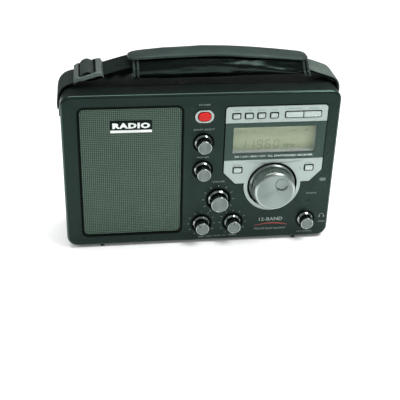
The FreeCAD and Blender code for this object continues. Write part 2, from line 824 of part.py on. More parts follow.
def make_display():
    """Holder whose pale walls reach forward to the lens, and the glass at its back."""
    low_x = "window_x - window_width / 2"
    low_z = "window_z - window_height / 2"
    back = "-control_board_y - 2 * clear_gap"

    def around(name, side, end, front, rear):
        """A block round the window, larger by side and end, from y front to y rear."""
        return block(name, "%s - (%s)" % (low_x, side), front, "%s - (%s)" % (low_z, end),
                     "window_width + 2 * (%s)" % side, "%s - (%s)" % (rear, front),
                     "window_height + 2 * (%s)" % end)

    frame = around("display_frame", "display_frame_side", "display_frame_end",
                   FRONT_INSIDE + " + 2 * clear_gap", back)
    rim = around("display_rim_block", "display_rim", "display_rim",
                 FRONT + " + lens_thick + clear_gap", "-display_face")
    well = around("display_well", "0", "0", FRONT, back)
    seat = around("display_seat", "glass_side", "glass_side", "-display_face", "-front_y / 3")
    node(cut("display_holder", fuse("display_holder_solid", [frame, rim]), [well, seat]),
         "display_holder")
    node(around("display_panel", "glass_side - 2 * clear_gap", "glass_side - 2 * clear_gap",
                "-display_face + clear_gap", back), "display_panel")


# ---------------------------------------------------------------- keys and knobs


def make_key(name, proud):
    """A cap with a flange that stops it behind the wall, and a stem to its switch."""
    body = new_body(name + "_body")
    x, z = name + "_x", name + "_z"
    wide, high = name + "_width", name + "_height"
    flange_y = FRONT_INSIDE + " + key_flange_gap"
    corner = "power_key_corner" if name == "power_button" else "key_corner"
    pad(body, name + "_cap", flange_y, "front_wall + key_flange_gap + (%s)" % proud,
        [("rounded", x, z, wide, high, corner)], forward=True)
    pad(body, name + "_flange", flange_y, "key_flange_thick",
        [("rectangle", x, z, wide, high + " + 2 * key_flange")])
    pad(body, name + "_stem", flange_y, "key_stem_length",
        [("rectangle", x, z, "key_stem", "key_stem")])
    round_edges(body, name + "_edge", "key_edge", flat_at("-front_y - (%s)" % proud))
    return node(body, name)


def make_knob(name):
    """Skirt, tapered grip and face turned about the shaft, with the shaft in its bore."""
    skirt, face, proud = name + "_skirt", name + "_face", name + "_proud"
    step = "tuning_step" if name == "tuning" else "knob_step"
    body = new_body(name + "_turned")
    profile = new_sketch(body, name + "_profile", "XZ_Plane", "0", [("polygon", [
        ("shaft_radius", "-knob_sink"),
        (skirt, "-knob_sink"),
        (skirt, step),
        (skirt + " - skirt_bevel", step + " + skirt_bevel_rise"),
        (face + " + skirt_bevel", proud + " - face_bevel"),
        (face, proud),
        ("0", proud),
        ("0", proud + " - knob_roof"),
        ("shaft_radius", proud + " - knob_roof")])])
    turned = body.newObject("PartDesign::Revolution", name + "_revolution")
    turned.Profile = profile
    turned.ReferenceAxis = (profile, ["V_Axis"])
    turned.Angle = 360
    place(body, name + "_x", FRONT, name + "_z", (1, 0, 0), 90)
    shaft = rod(name + "_shaft", "y", name + "_x", "-front_y - %s + knob_roof" % proud,
                name + "_z", "shaft_radius", "front_y - shaft_end + %s - knob_roof" % proud)
    return body, shaft


def make_knobs():
    for name in KNOBS:
        turned, shaft = make_knob(name)
        if name == "tuning":
            dimple = doc.addObject("Part::Sphere", "finger_dimple")
            dimple.setExpression("Radius", bind("dimple_radius"))
            place(dimple, "tuning_x + dimple_x",
                  "-front_y - tuning_proud - dimple_radius + dimple_depth",
                  "tuning_z + dimple_z")
            turned = cut("tuning_knob_cut", turned, [dimple])
        node(group(name + "_knob_group", [turned, shaft]), name + "_knob")


def make_controls():
    """Switches behind the keys, and encoders and potentiometers behind the knobs."""
    switches = []
    for name in KEYS:
        x, z = name + "_x", name + "_z"
        case = block(name + "_switch", x + " - switch_size / 2",
                     "-control_board_y - switch_depth", z + " - switch_size / 2",
                     "switch_size", "switch_depth", "switch_size")
        plunger = rod(name + "_plunger", "y", x,
                      "-control_board_y - switch_depth - plunger_length", z,
                      "plunger_radius", "2 * plunger_length")
        switches.append(fuse(name + "_switch_solid", [case, plunger]))
    node(group("key_switches", switches), "key_switches")

    rotary = []
    for name in KNOBS:
        x, z = name + "_x", name + "_z"
        case = block(name + "_rotary", x + " - rotary_size / 2",
                     "-control_board_y - rotary_depth", z + " - rotary_size / 2",
                     "rotary_size", "rotary_depth", "rotary_size")
        bush = rod(name + "_bush", "y", x, "-control_board_y - rotary_depth - bush_length", z,
                   "bush_radius", "2 * bush_length")
        bore = rod(name + "_bush_bore", "y", x,
                   "-control_board_y - rotary_depth - 2 * bush_length", z,
                   "shaft_radius + shaft_running", "3 * bush_length + 1")
        rotary.append(cut(name + "_rotary_solid", fuse(name + "_rotary_fuse", [case, bush]),
                          [bore]))
    node(group("rotary_controls", rotary), "rotary_controls")


# ---------------------------------------------------------------- boards and screws


def screw(name, x, y, z, radius, head, length, head_height):
    """A pan-head screw that runs forward from the plane y, its head behind that plane."""
    shank = rod(name + "_shank", "y", x, "%s - (%s)" % (y, length), z, radius, length)
    top = rod(name + "_head", "y", x, y, z, head, head_height)
    return fuse(name, [shank, top])


def make_boards():
    """Control board in front, main board with its shield cans behind, ribbon between."""
    holes = [rod("control_hole_%d" % index, "y", x, "-control_board_y - 1", z,
                 "board_screw_radius + board_hole_gap", "board + 2")
             for index, (x, z) in enumerate(CONTROL_SCREW_SPOTS)]
    plate = block("control_plate", "control_board_left", "-control_board_y",
                  "control_board_low", "control_board_right - control_board_left", "board",
                  "control_board_high - control_board_low")
    node(cut("control_board", plate, holes), "control_board")

    holes = [rod("main_hole_%d" % index, "y", x, "main_board_y - 1", z,
                 "board_screw_radius + board_hole_gap", "board + 2")
             for index, (x, z) in enumerate(MAIN_SCREW_SPOTS)]
    plate = block("main_plate", "main_board_left", "main_board_y", "main_board_low",
                  "main_board_right - main_board_left", "board",
                  "main_board_high - main_board_low")
    node(cut("main_board", plate, holes), "main_board")

    cans = [block("tuner_can", "8", "main_board_y - 7", "26", "36", "7", "54"),
            block("mixer_can", "82", "main_board_y - 7", "26", "34", "7", "32"),
            block("filter_can", "82", "main_board_y - 9", "64", "30", "9", "18")]
    node(group("rf_shields", cans), "rf_shields")

    plate = block("jack_plate", "jack_recess_left", "jack_board_y",
                  "jack_recess_low - jack_board_margin",
                  "jack_recess_right - jack_recess_left", "board",
                  "jack_recess_high - jack_recess_low + 2 * jack_board_margin")
    node(plate, "jack_board")

    front_plug = block("front_plug", "52", "-control_board_y + board", "40",
                       "ribbon_width + 2", "plug_depth", "plug_height")
    back_plug = block("back_plug", "52", "main_board_y - plug_depth", "54",
                      "ribbon_width + 2", "plug_depth", "plug_height")
    ribbon = new_body("ribbon_body")
    profile = new_sketch(ribbon, "ribbon_sketch", "YZ_Plane", "53", [("polygon", [
        ("-control_board_y + board + plug_depth", "42"),
        ("-2", "42"),
        ("2", "56"),
        ("main_board_y - plug_depth", "56"),
        ("main_board_y - plug_depth", "57"),
        ("1.3", "57"),
        ("-2.7", "43"),
        ("-control_board_y + board + plug_depth", "43")])])
    strip = ribbon.newObject("PartDesign::Pad", "ribbon_pad")
    strip.Profile = profile
    strip.setExpression("Length", bind("ribbon_width"))
    node(group("ribbon_cable", [front_plug, ribbon, back_plug]), "ribbon_cable")


def make_screws():
    case_screws = [screw("case_screw_%d" % index, x, "screw_seat", z, "screw_radius",
                         "screw_head", "case_screw_length", "case_screw_head")
                   for index, (x, z) in enumerate(UPPER_SCREW_SPOTS)]
    node(group("case_screws", case_screws), "case_screws")
    board_screws = [screw("control_screw_%d" % index, x, "-control_board_y + board", z,
                          "board_screw_radius", "board_screw_head", "board_screw_length",
                          "board_head_height")
                    for index, (x, z) in enumerate(CONTROL_SCREW_SPOTS)]
    for index, (x, z) in enumerate(MAIN_SCREW_SPOTS):
        name = "main_screw_%d" % index
        shank = rod(name + "_shank", "y", x, "main_board_y", z, "board_screw_radius",
                    "main_screw_length")
        top = rod(name + "_head", "y", x, "main_board_y - board_head_height", z,
                  "board_screw_head", "board_head_height")
        board_screws.append(fuse(name, [shank, top]))
    node(group("board_screws", board_screws), "board_screws")


# ---------------------------------------------------------------- aerial rod, batteries, sockets


def make_ferrite():
    """Ferrite rod aerial held under the top of the case by its two coil formers."""
    node(rod("ferrite_rod", "x", "ferrite_left", "strap_y", "whip_z", "ferrite_radius",
             "ferrite_length"), "ferrite_rod")
    coils = []
    for index, (start, length) in enumerate((("-96", "34"), ("18", "26"))):
        name = "coil_%d" % index
        former = rod(name + "_former", "x", start, "strap_y", "whip_z", "former_radius", length)
        foot = block(name + "_foot", start, "strap_y - former_foot / 2", "whip_z", length,
                     "former_foot", "case_bottom + case_height - wall - whip_z")
        bore = rod(name + "_bore", "x", start + " - 1", "strap_y", "whip_z",
                   "ferrite_radius", length + " + 2")
        coils.append(cut(name, fuse(name + "_solid", [former, foot]), [bore]))
    node(group("ferrite_coils", coils), "ferrite_coils")


def make_battery():
    """Two cells side by side, their contacts at both ends, and the cover over the bay."""
    start = "bay_x - cell_length / 2"
    cells = []
    contacts = []
    for index, sign in enumerate(("-", "+")):
        z = "bay_z %s cell_spacing / 2" % sign
        cells.append(rod("cell_%d" % index, "x", start, "cell_y", z, "cell_radius",
                         "cell_length"))
        for side, plate_x, tip_x in (
                ("left", "bay_x - bay_width / 2", "bay_x - bay_width / 2 + contact_thick"),
                ("right", "bay_x + bay_width / 2 - contact_thick",
                 "bay_x + cell_length / 2")):
            name = "contact_%s_%d" % (side, index)
            plate = block(name + "_plate", plate_x, "cell_y - contact_size / 2",
                          z + " - contact_size / 2", "contact_thick", "contact_size",
                          "contact_size")
            tip = rod(name + "_tip", "x", tip_x, "cell_y", z, "contact_tip",
                      "(bay_width - cell_length) / 2 - contact_thick")
            contacts.append(fuse(name, [plate, tip]))
    node(group("battery_cells", cells), "battery_cells")
    node(group("battery_contacts", contacts), "battery_contacts")

    cover = new_body("battery_cover_body")
    inside = "back_y - cover_seat + cover_lift"
    pad(cover, "cover_plate", inside, "cover_thick", [
        ("rounded", "bay_x", "bay_z", "bay_width + 2 * (cover_lip - cover_gap)",
         "bay_height + 2 * (cover_lip - cover_gap)", "cover_corner - cover_gap")])
    pad(cover, "cover_tongues", inside, "tongue_depth", [
        ("rectangle", x, "bay_z %s (bay_height / 2 - tongue_inset)" % sign, "tongue_width",
         "tongue_height")
        for x, sign in (("bay_x - tongue_x", "+"), ("bay_x + tongue_x", "+"), ("bay_x", "-"))],
        forward=True)
    node(cover, "battery_cover")


def make_socket(name, x, radius, core, base):
    """A round socket on the sunken panel: base on the jack board, barrel, nut, open core."""
    panel = "back_y - jack_recess_depth"
    solid = fuse(name + "_solid", [
        block(name + "_base", "%s - (%s) / 2" % (x, base), "jack_board_y + board",
              "jack_z - (%s) / 2" % base, base, "%s - wall - jack_board_y - board" % panel,
              base),
        rod(name + "_barrel", "y", x, panel + " - wall", "jack_z", radius,
            "jack_recess_depth + wall - 1"),
        rod(name + "_nut", "y", x, panel, "jack_z", "jack_nut", "nut_thick")])
    opening = rod(name + "_core", "y", x, panel, "jack_z", core, "jack_recess_depth")
    return cut(name, solid, [opening])


def make_sockets():
    antenna = [make_socket("bnc_%d" % index, x, "bnc_radius", "bnc_core", "bnc_base")
               for index, x in enumerate(BNC_X)]
    pins = [rod("bnc_pin_%d" % index, "y", x, "back_y - jack_recess_depth", "jack_z",
                "bnc_pin", "bnc_pin_length") for index, x in enumerate(BNC_X)]
    node(group("antenna_jacks", antenna + pins), "antenna_jacks")
    line = [make_socket("phono_%d" % index, x, "phono_radius", "phono_core", "phono_base")
            for index, x in enumerate(PHONO_X)]
    node(group("line_out_jacks", line), "line_out_jacks")

    side = "case_width / 2"
    shell = fuse("headphone_solid", [
        block("headphone_body", side + " - wall - headphone_length",
              "headphone_y - headphone_box / 2", "headphone_z - headphone_box / 2",
              "headphone_length", "headphone_box", "headphone_box"),
        rod("headphone_collar", "x", side + " - wall", "headphone_y", "headphone_z",
            "headphone_nose", "wall - nose_sunk")])
    bore = rod("headphone_bore_tool", "x", side + " - headphone_depth", "headphone_y",
               "headphone_z", "headphone_bore", "headphone_depth + 1")
    node(cut("headphone_jack", shell, [bore]), "headphone_jack")

    shell = fuse("power_jack_solid", [
        block("power_body", "power_jack_x - power_box / 2",
              "back_y - back_wall - power_box_depth", "power_jack_z - power_box / 2",
              "power_box", "power_box_depth", "power_box"),
        rod("power_collar", "y", "power_jack_x", "back_y - back_wall", "power_jack_z",
            "power_nose", "back_wall - power_nose_sunk")])
    inner_end = "back_y - power_bore_depth"
    bore = rod("power_bore_tool", "y", "power_jack_x", inner_end, "power_jack_z", "power_bore",
               "power_bore_depth + 1")
    pin = rod("power_contact", "y", "power_jack_x", inner_end, "power_jack_z", "power_pin",
              "power_pin_length")
    node(group("power_jack", [cut("power_shell", shell, [bore]), pin]), "power_jack")


def make_feet():
    feet = [rod("foot_%d" % index, "z", x, y, "0", "foot_radius", "case_bottom")
            for index, (x, y) in enumerate((
                ("-foot_x", "foot_front"), ("foot_x", "foot_front"),
                ("-foot_x", "foot_back"), ("foot_x", "foot_back")))]
    node(group("rubber_feet", feet), "rubber_feet")


# ---------------------------------------------------------------- telescopic whip


def make_whip():
    """Turret that swivels in the rebate, a tilting first tube and three that slide out."""
    disc_top = "rebate_floor + turret_gap + turret_disc"
    ears = [block("ear_" + side, "whip_x - whip_tab", y, disc_top, "2 * whip_tab",
                  "turret_ear", "whip_z + whip_tab - (%s)" % disc_top)
            for side, y in (("front", "whip_y - tab_thick / 2 - turret_gap - turret_ear"),
                            ("back", "whip_y + tab_thick / 2 + turret_gap"))]
    turret = fuse("antenna_turret", ears + [
        rod("turret_plate", "z", "whip_x", "whip_y", "rebate_floor + turret_gap",
            "turret_radius", "turret_disc"),
        rod("turret_spigot", "z", "whip_x", "whip_y",
            "rebate_floor - back_wall - 2 * turret_gap", "spigot_radius",
            "back_wall + 5 * turret_gap"),
        rod("turret_pin", "y", "whip_x", "whip_y - tab_thick / 2 - 1", "whip_z", "tilt_pin",
            "tab_thick + 2")])
    node(turret, "antenna_turret")

    solid = fuse("tube_1_solid", [
        rod("tab_round", "y", "whip_x", "whip_y - tab_thick / 2", "whip_z", "whip_tab",
            "tab_thick"),
        block("tab", "whip_x - whip_reach - 2", "whip_y - tab_thick / 2", "whip_z - whip_tab",
              "whip_reach + 2", "tab_thick", "2 * whip_tab"),
        rod("tube_1_bar", "x", "whip_x - whip_reach - whip_length", "whip_y", "whip_z",
            "whip_radius", "whip_length")])
    tools = [rod("tilt_bore", "y", "whip_x", "whip_y - tab_thick", "whip_z",
                 "tilt_pin + 0.05", "2 * tab_thick"),
             rod("tube_1_bore", "x", "whip_x - whip_reach - whip_length - 1", "whip_y",
                 "whip_z", "whip_radius - whip_step + whip_running", "whip_length - 5")]
    node(cut("antenna_tube_1", solid, tools), "antenna_tube_1")

    for number in (2, 3, 4):
        radius = "whip_radius - %d * whip_step" % (number - 1)
        outer_end = ("whip_x - whip_reach - whip_length - %d * whip_stagger"
                     % (number - 1))
        length = "whip_length - whip_reach - %d" % (number - 1)
        bar = rod("tube_%d_bar" % number, "x", outer_end, "whip_y", "whip_z", radius, length)
        if number < 4:
            bore = rod("tube_%d_bore" % number, "x", outer_end + " - 1", "whip_y", "whip_z",
                       radius + " - whip_step + whip_running", length + " - 3")
            node(cut("antenna_tube_%d" % number, bar, [bore]), "antenna_tube_%d" % number)
        else:
            tip = rod("whip_tip", "x", outer_end + " - whip_tip_length + 1", "whip_y",
                      "whip_z", "whip_tip_radius", "whip_tip_length")
            node(fuse("antenna_tube_4", [bar, tip]), "antenna_tube_4")


# ---------------------------------------------------------------- carrying strap


def strap_run(side, sign, slope, grip_end):
    """Webbing from its lug up the side, over the corner and up to the end of the grip."""
    body = new_body("webbing_" + side)
    angle = math.radians(value(slope))
    start_x = sign * value("strap_x")
    low, bend_z, bend = value("strap_low"), value("strap_bend_z"), value("strap_bend")
    soft = value("crest_radius")
    bend_x = start_x - sign * bend
    over = Vector(bend_x + sign * bend * math.sin(angle), bend_z + bend * math.cos(angle), 0)
    end_x = value(grip_end)
    level_x = end_x + sign * value("grip_overlap")
    rise_x = level_x + sign * soft * math.sin(angle)
    rise_z = over.y + abs(rise_x - over.x) * math.tan(angle)
    level_z = rise_z + soft * (1 - math.cos(angle))
    up = Vector(0, 0, 1)
    half = math.pi / 2
    corner = Part.Circle(Vector(bend_x, bend_z, 0), up, bend)
    crest = Part.Circle(Vector(level_x, level_z - soft, 0), up, soft)
    if sign < 0:
        corner_arc = Part.ArcOfCircle(corner, half + angle, math.pi)
        crest_arc = Part.ArcOfCircle(crest, half, half + angle)
    else:
        corner_arc = Part.ArcOfCircle(corner, 0, half - angle)
        crest_arc = Part.ArcOfCircle(crest, half - angle, half)
    path = new_sketch(body, side + "_path", "XZ_Plane", "-strap_y", [])
    path.addGeometry([
        Part.LineSegment(Vector(start_x, low, 0), Vector(start_x, bend_z, 0)),
        corner_arc,
        Part.LineSegment(over, Vector(rise_x, rise_z, 0)),
        crest_arc,
        Part.LineSegment(Vector(level_x, level_z, 0), Vector(end_x, level_z, 0))], False)
    section = new_sketch(body, side + "_section", "XY_Plane", "strap_low", [
        ("rectangle", "%d * strap_x" % sign, "strap_y", "strap_thick", "strap_width")])
    pipe = body.newObject("PartDesign::AdditivePipe", "webbing_pipe_" + side)
    pipe.Profile = section
    pipe.Spine = (path, ["Edge%d" % number for number in range(1, 6)])
    return body


def make_strap():
    """Webbing ends, padded grip, ladder buckle, and lugs that turn on shoulder screws."""
    webbing = [strap_run("left", -1, "strap_left_slope", "grip_left"),
               strap_run("right", 1, "strap_right_slope", "grip_right")]
    node(group("strap_webbing", webbing), "strap_webbing")

    grip = new_body("grip_body")
    section = new_sketch(grip, "grip_section", "YZ_Plane", "grip_left", [
        ("rounded", "strap_y", "(grip_low + grip_high) / 2", "grip_depth",
         "grip_high - grip_low", "grip_round")])
    roll = grip.newObject("PartDesign::Pad", "grip_roll")
    roll.Profile = section
    roll.setExpression("Length", bind("grip_right - grip_left"))
    node(grip, "strap_grip")

    frame = block("buckle_frame", "-buckle_length / 2", "-buckle_width / 2", "0",
                  "buckle_length", "buckle_width", "buckle_thick")
    slots = [block("buckle_slot_%d" % index, x, "-buckle_width / 2 + buckle_side", "-1",
                   "buckle_slot", "buckle_width - 2 * buckle_side", "buckle_thick + 2")
             for index, x in enumerate(("-buckle_length / 2 + buckle_bar",
                                        "buckle_length / 2 - buckle_bar - buckle_slot"))]
    buckle = cut("strap_buckle", frame, slots)
    slope = math.radians(value("strap_left_slope"))
    over_x = value("-strap_x + strap_bend") - value("strap_bend") * math.sin(slope)
    over_z = value("strap_bend_z") + value("strap_bend") * math.cos(slope)
    lift = value("strap_thick") / 2 + 0.1
    middle_z = over_z + (value("buckle_x") - over_x) * math.tan(slope)
    buckle.Placement = FreeCAD.Placement(
        Vector(value("buckle_x") - lift * math.sin(slope), value("strap_y"),
               middle_z + lift * math.cos(slope)),
        FreeCAD.Rotation(Vector(0, 1, 0), -value("strap_left_slope")))
    node(buckle, "strap_buckle")

    lugs = []
    screws = []
    for side, sign in (("left", "-"), ("right", "")):
        inner = "%s(case_width / 2)" % sign
        centre = "%sstrap_x" % sign
        plate = block("lug_plate_" + side, centre + " - strap_thick / 2",
                      "strap_y - lug_width / 2", "lug_low", "strap_thick", "lug_width",
                      "strap_low - lug_low")
        hole = rod("lug_hole_" + side, "x", centre + " - 3", "strap_y", "strap_pivot_z",
                   "strap_pivot_radius + shaft_running", "6")
        lugs.append(cut("lug_" + side, plate, [hole]))
        head_x = ("case_width / 2 + strap_shoulder" if sign == ""
                  else "-case_width / 2 - strap_shoulder - strap_head_thick")
        shoulder_x = ("case_width / 2" if sign == ""
                      else "-case_width / 2 - strap_shoulder")
        thread_x = "case_width / 2 - wall - 3" if sign == "" else "-case_width / 2"
        screws.append(fuse("strap_screw_" + side, [
            rod("strap_head_" + side, "x", head_x, "strap_y", "strap_pivot_z", "strap_head",
                "strap_head_thick"),
            rod("strap_shoulder_" + side, "x", shoulder_x, "strap_y", "strap_pivot_z",
                "strap_pivot_radius", "strap_shoulder"),
            rod("strap_thread_" + side, "x", thread_x, "strap_y", "strap_pivot_z",
                "strap_thread", "wall + 3")]))
    node(group("strap_lugs", lugs), "strap_lugs")
    node(group("strap_screws", screws), "strap_screws")


# ---------------------------------------------------------------- build, test and write

make_front_case()
make_rear_case()
make_speaker()
make_trim()
make_display()
for key in KEYS:
    make_key(key, "bezel_power_proud + power_key_proud" if key == "power_button"
             else "trim + key_proud")
make_knobs()
make_controls()
make_boards()
make_screws()
make_ferrite()
make_battery()
make_sockets()
make_feet()
make_whip()
make_strap()
doc.recompute()

for item in doc.Objects:
    if "Invalid" in item.State or "Error" in item.State:
        raise RuntimeError("%s failed: %s" % (item.Name, item.State))
for item in NODES:
    if item.Shape.isNull() or not item.Shape.isValid() or item.Shape.Volume <= 0:
        raise RuntimeError("%s has no sound shape" % item.Label)

os.makedirs("parts", exist_ok=True)
for item in NODES:
    item.Shape.exportStep("parts/%s.step" % item.Label)

whole = FreeCAD.BoundBox()
for item in NODES:
    whole.add(item.Shape.optimalBoundingBox())
print(len(NODES), "nodes,", "box", whole)
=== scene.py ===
import json
from math import copysign, cos, hypot, pi, radians, sin, sqrt, tau

import bmesh
import bpy
from mathutils import Matrix, Vector, noise


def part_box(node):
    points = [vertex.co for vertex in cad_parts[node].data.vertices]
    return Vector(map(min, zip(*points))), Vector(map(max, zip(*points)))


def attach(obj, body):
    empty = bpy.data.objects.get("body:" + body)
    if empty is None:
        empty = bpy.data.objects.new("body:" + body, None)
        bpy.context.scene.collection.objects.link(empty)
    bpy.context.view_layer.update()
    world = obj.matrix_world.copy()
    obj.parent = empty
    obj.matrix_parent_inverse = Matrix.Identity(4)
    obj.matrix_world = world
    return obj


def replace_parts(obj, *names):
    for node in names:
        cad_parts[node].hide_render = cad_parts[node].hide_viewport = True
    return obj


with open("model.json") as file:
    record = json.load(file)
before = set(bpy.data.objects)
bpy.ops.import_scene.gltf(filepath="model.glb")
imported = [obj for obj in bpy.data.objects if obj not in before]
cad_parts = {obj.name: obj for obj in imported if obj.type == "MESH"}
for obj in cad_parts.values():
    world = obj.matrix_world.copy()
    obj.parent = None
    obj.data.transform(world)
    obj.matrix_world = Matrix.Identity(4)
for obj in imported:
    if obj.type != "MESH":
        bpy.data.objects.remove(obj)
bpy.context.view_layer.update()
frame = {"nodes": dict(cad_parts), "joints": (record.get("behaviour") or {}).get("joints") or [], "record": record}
NODES = frame["nodes"]
JOINTS = {joint["name"]: joint for joint in frame["joints"]}
MM = 0.001
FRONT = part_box("key_panel")[1].y
TRIM_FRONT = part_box("key_panel")[0].y
BEZEL_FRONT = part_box("display_bezel")[0].y
CASE_CORNER = 0.012        # radius of the case's corners
FLANGE = 0.0018            # each key's hidden flange, above and below
INK = 0.00004              # thickness of the printing
GAP_SHADE_LIFT = 0.00002           # how far the painted gap shade's front lies before the face
BORE = 3.05                # radius of a knob's bore, in mm
SINK = 1.3                 # how far a knob's skirt lies in its recess, in mm


# ---- camera, light and floor ----


def make_camera():
    """Left of the middle and above, looking down 30 degrees, rolled almost 2 degrees."""
    data = bpy.data.cameras.new("camera")
    data.lens = 75.64
    data.sensor_width = 36
    data.clip_start, data.clip_end = 0.05, 30
    camera = bpy.data.objects.new("camera", data)
    right = Vector((0.99139, -0.12796, 0.02772))
    up = Vector((0.04014, 0.49859, 0.86591))
    back = Vector((-0.12462, -0.85734, 0.49943))
    camera.location = (-0.1165, -0.8261, 0.5207)
    camera.rotation_euler = Matrix((right, up, back)).transposed().to_euler()
    bpy.context.scene.collection.objects.link(camera)
    bpy.context.scene.camera = camera


def area_light(name, location, target, size, watts, mirrored=True):
    """A rectangular lamp aimed at a point; glossy surfaces may be kept from showing it."""
    data = bpy.data.lights.new(name, "AREA")
    data.shape = "RECTANGLE"
    data.size, data.size_y = size
    data.energy = watts
    lamp = bpy.data.objects.new(name, data)
    lamp.location = location
    lamp.visible_glossy = mirrored
    aim = Vector(target) - Vector(location)
    lamp.rotation_euler = aim.to_track_quat("-Z", "Y").to_euler()
    bpy.context.scene.collection.objects.link(lamp)


def map_range(tree, source, low, high, start, end):
    """The source's span from start to end, carried over to low to high."""
    made = tree.nodes.new("ShaderNodeMapRange")
    for socket, number in (("From Min", start), ("From Max", end), ("To Min", low),
                           ("To Max", high)):
        made.inputs[socket].default_value = number
    tree.links.new(source, made.inputs["Value"])
    return made.outputs["Result"]


def make_world():
    """Pale surroundings, a little brighter in front than behind."""
    world = bpy.data.worlds.new("studio")
    world.use_nodes = True
    tree = world.node_tree
    direction = tree.nodes.new("ShaderNodeTexCoord").outputs["Generated"]
    split = tree.nodes.new("ShaderNodeSeparateXYZ")
    tree.links.new(direction, split.inputs["Vector"])
    strength = map_range(tree, split.outputs["Y"], 0.25, 0.17, -0.5, 0.9)
    background = tree.nodes["Background"]
    background.inputs["Color"].default_value = (0.94, 1.0, 0.98, 1)
    tree.links.new(strength, background.inputs["Strength"])
    bpy.context.scene.world = world


def make_lights():
    """Soft lamps: name, place, aim, size in metres, watts, and whether gloss mirrors them."""
    area_light("overhead", (0.0, 0.14, 1.0), (0.0, 0.0, 0), (0.9, 0.3), 4.5)
    area_light("backdrop", (0, 0.75, 2.3), (0, 0.5, 0), (2.2, 1.0), 38, False)
    area_light("softbox", (0.55, -0.46, 0.95), (0.05, 0, 0.1), (0.4, 0.32), 5.5)
    area_light("right_fill", (0.24, -0.15, 0.5), (0.18, -0.13, 0), (0.35, 0.25), 2.0, False)
    area_light("left_fill", (-1.2, -0.15, 0.8), (-0.1, 0, 0.1), (0.8, 0.5), 6, False)
    area_light("front_fill", (-0.45, -0.55, 0.9), (-0.05, -0.1, 0), (0.8, 0.3), 1.1, False)
    make_world()
    bpy.context.scene.view_settings.view_transform = "Standard"


def make_floor():
    """A wide sheet of pale paper with a faint light of its own."""
    half = 6.0
    mesh = bpy.data.meshes.new("floor")
    mesh.from_pydata([(-half, -half, 0), (half, -half, 0), (half, half, 0), (-half, half, 0)],
                     [], [(0, 1, 2, 3)])
    floor = bpy.data.objects.new("floor", mesh)
    bpy.context.scene.collection.objects.link(floor)
    paper = Finish("floor_paper", (0.92, 0.92, 0.92), 0.85, Emission_Strength=0.11,
                   Emission_Color=(1, 1, 1, 1))
    mesh.materials.append(paper.mottle(3, 0.01).material)


# ---- materials ----


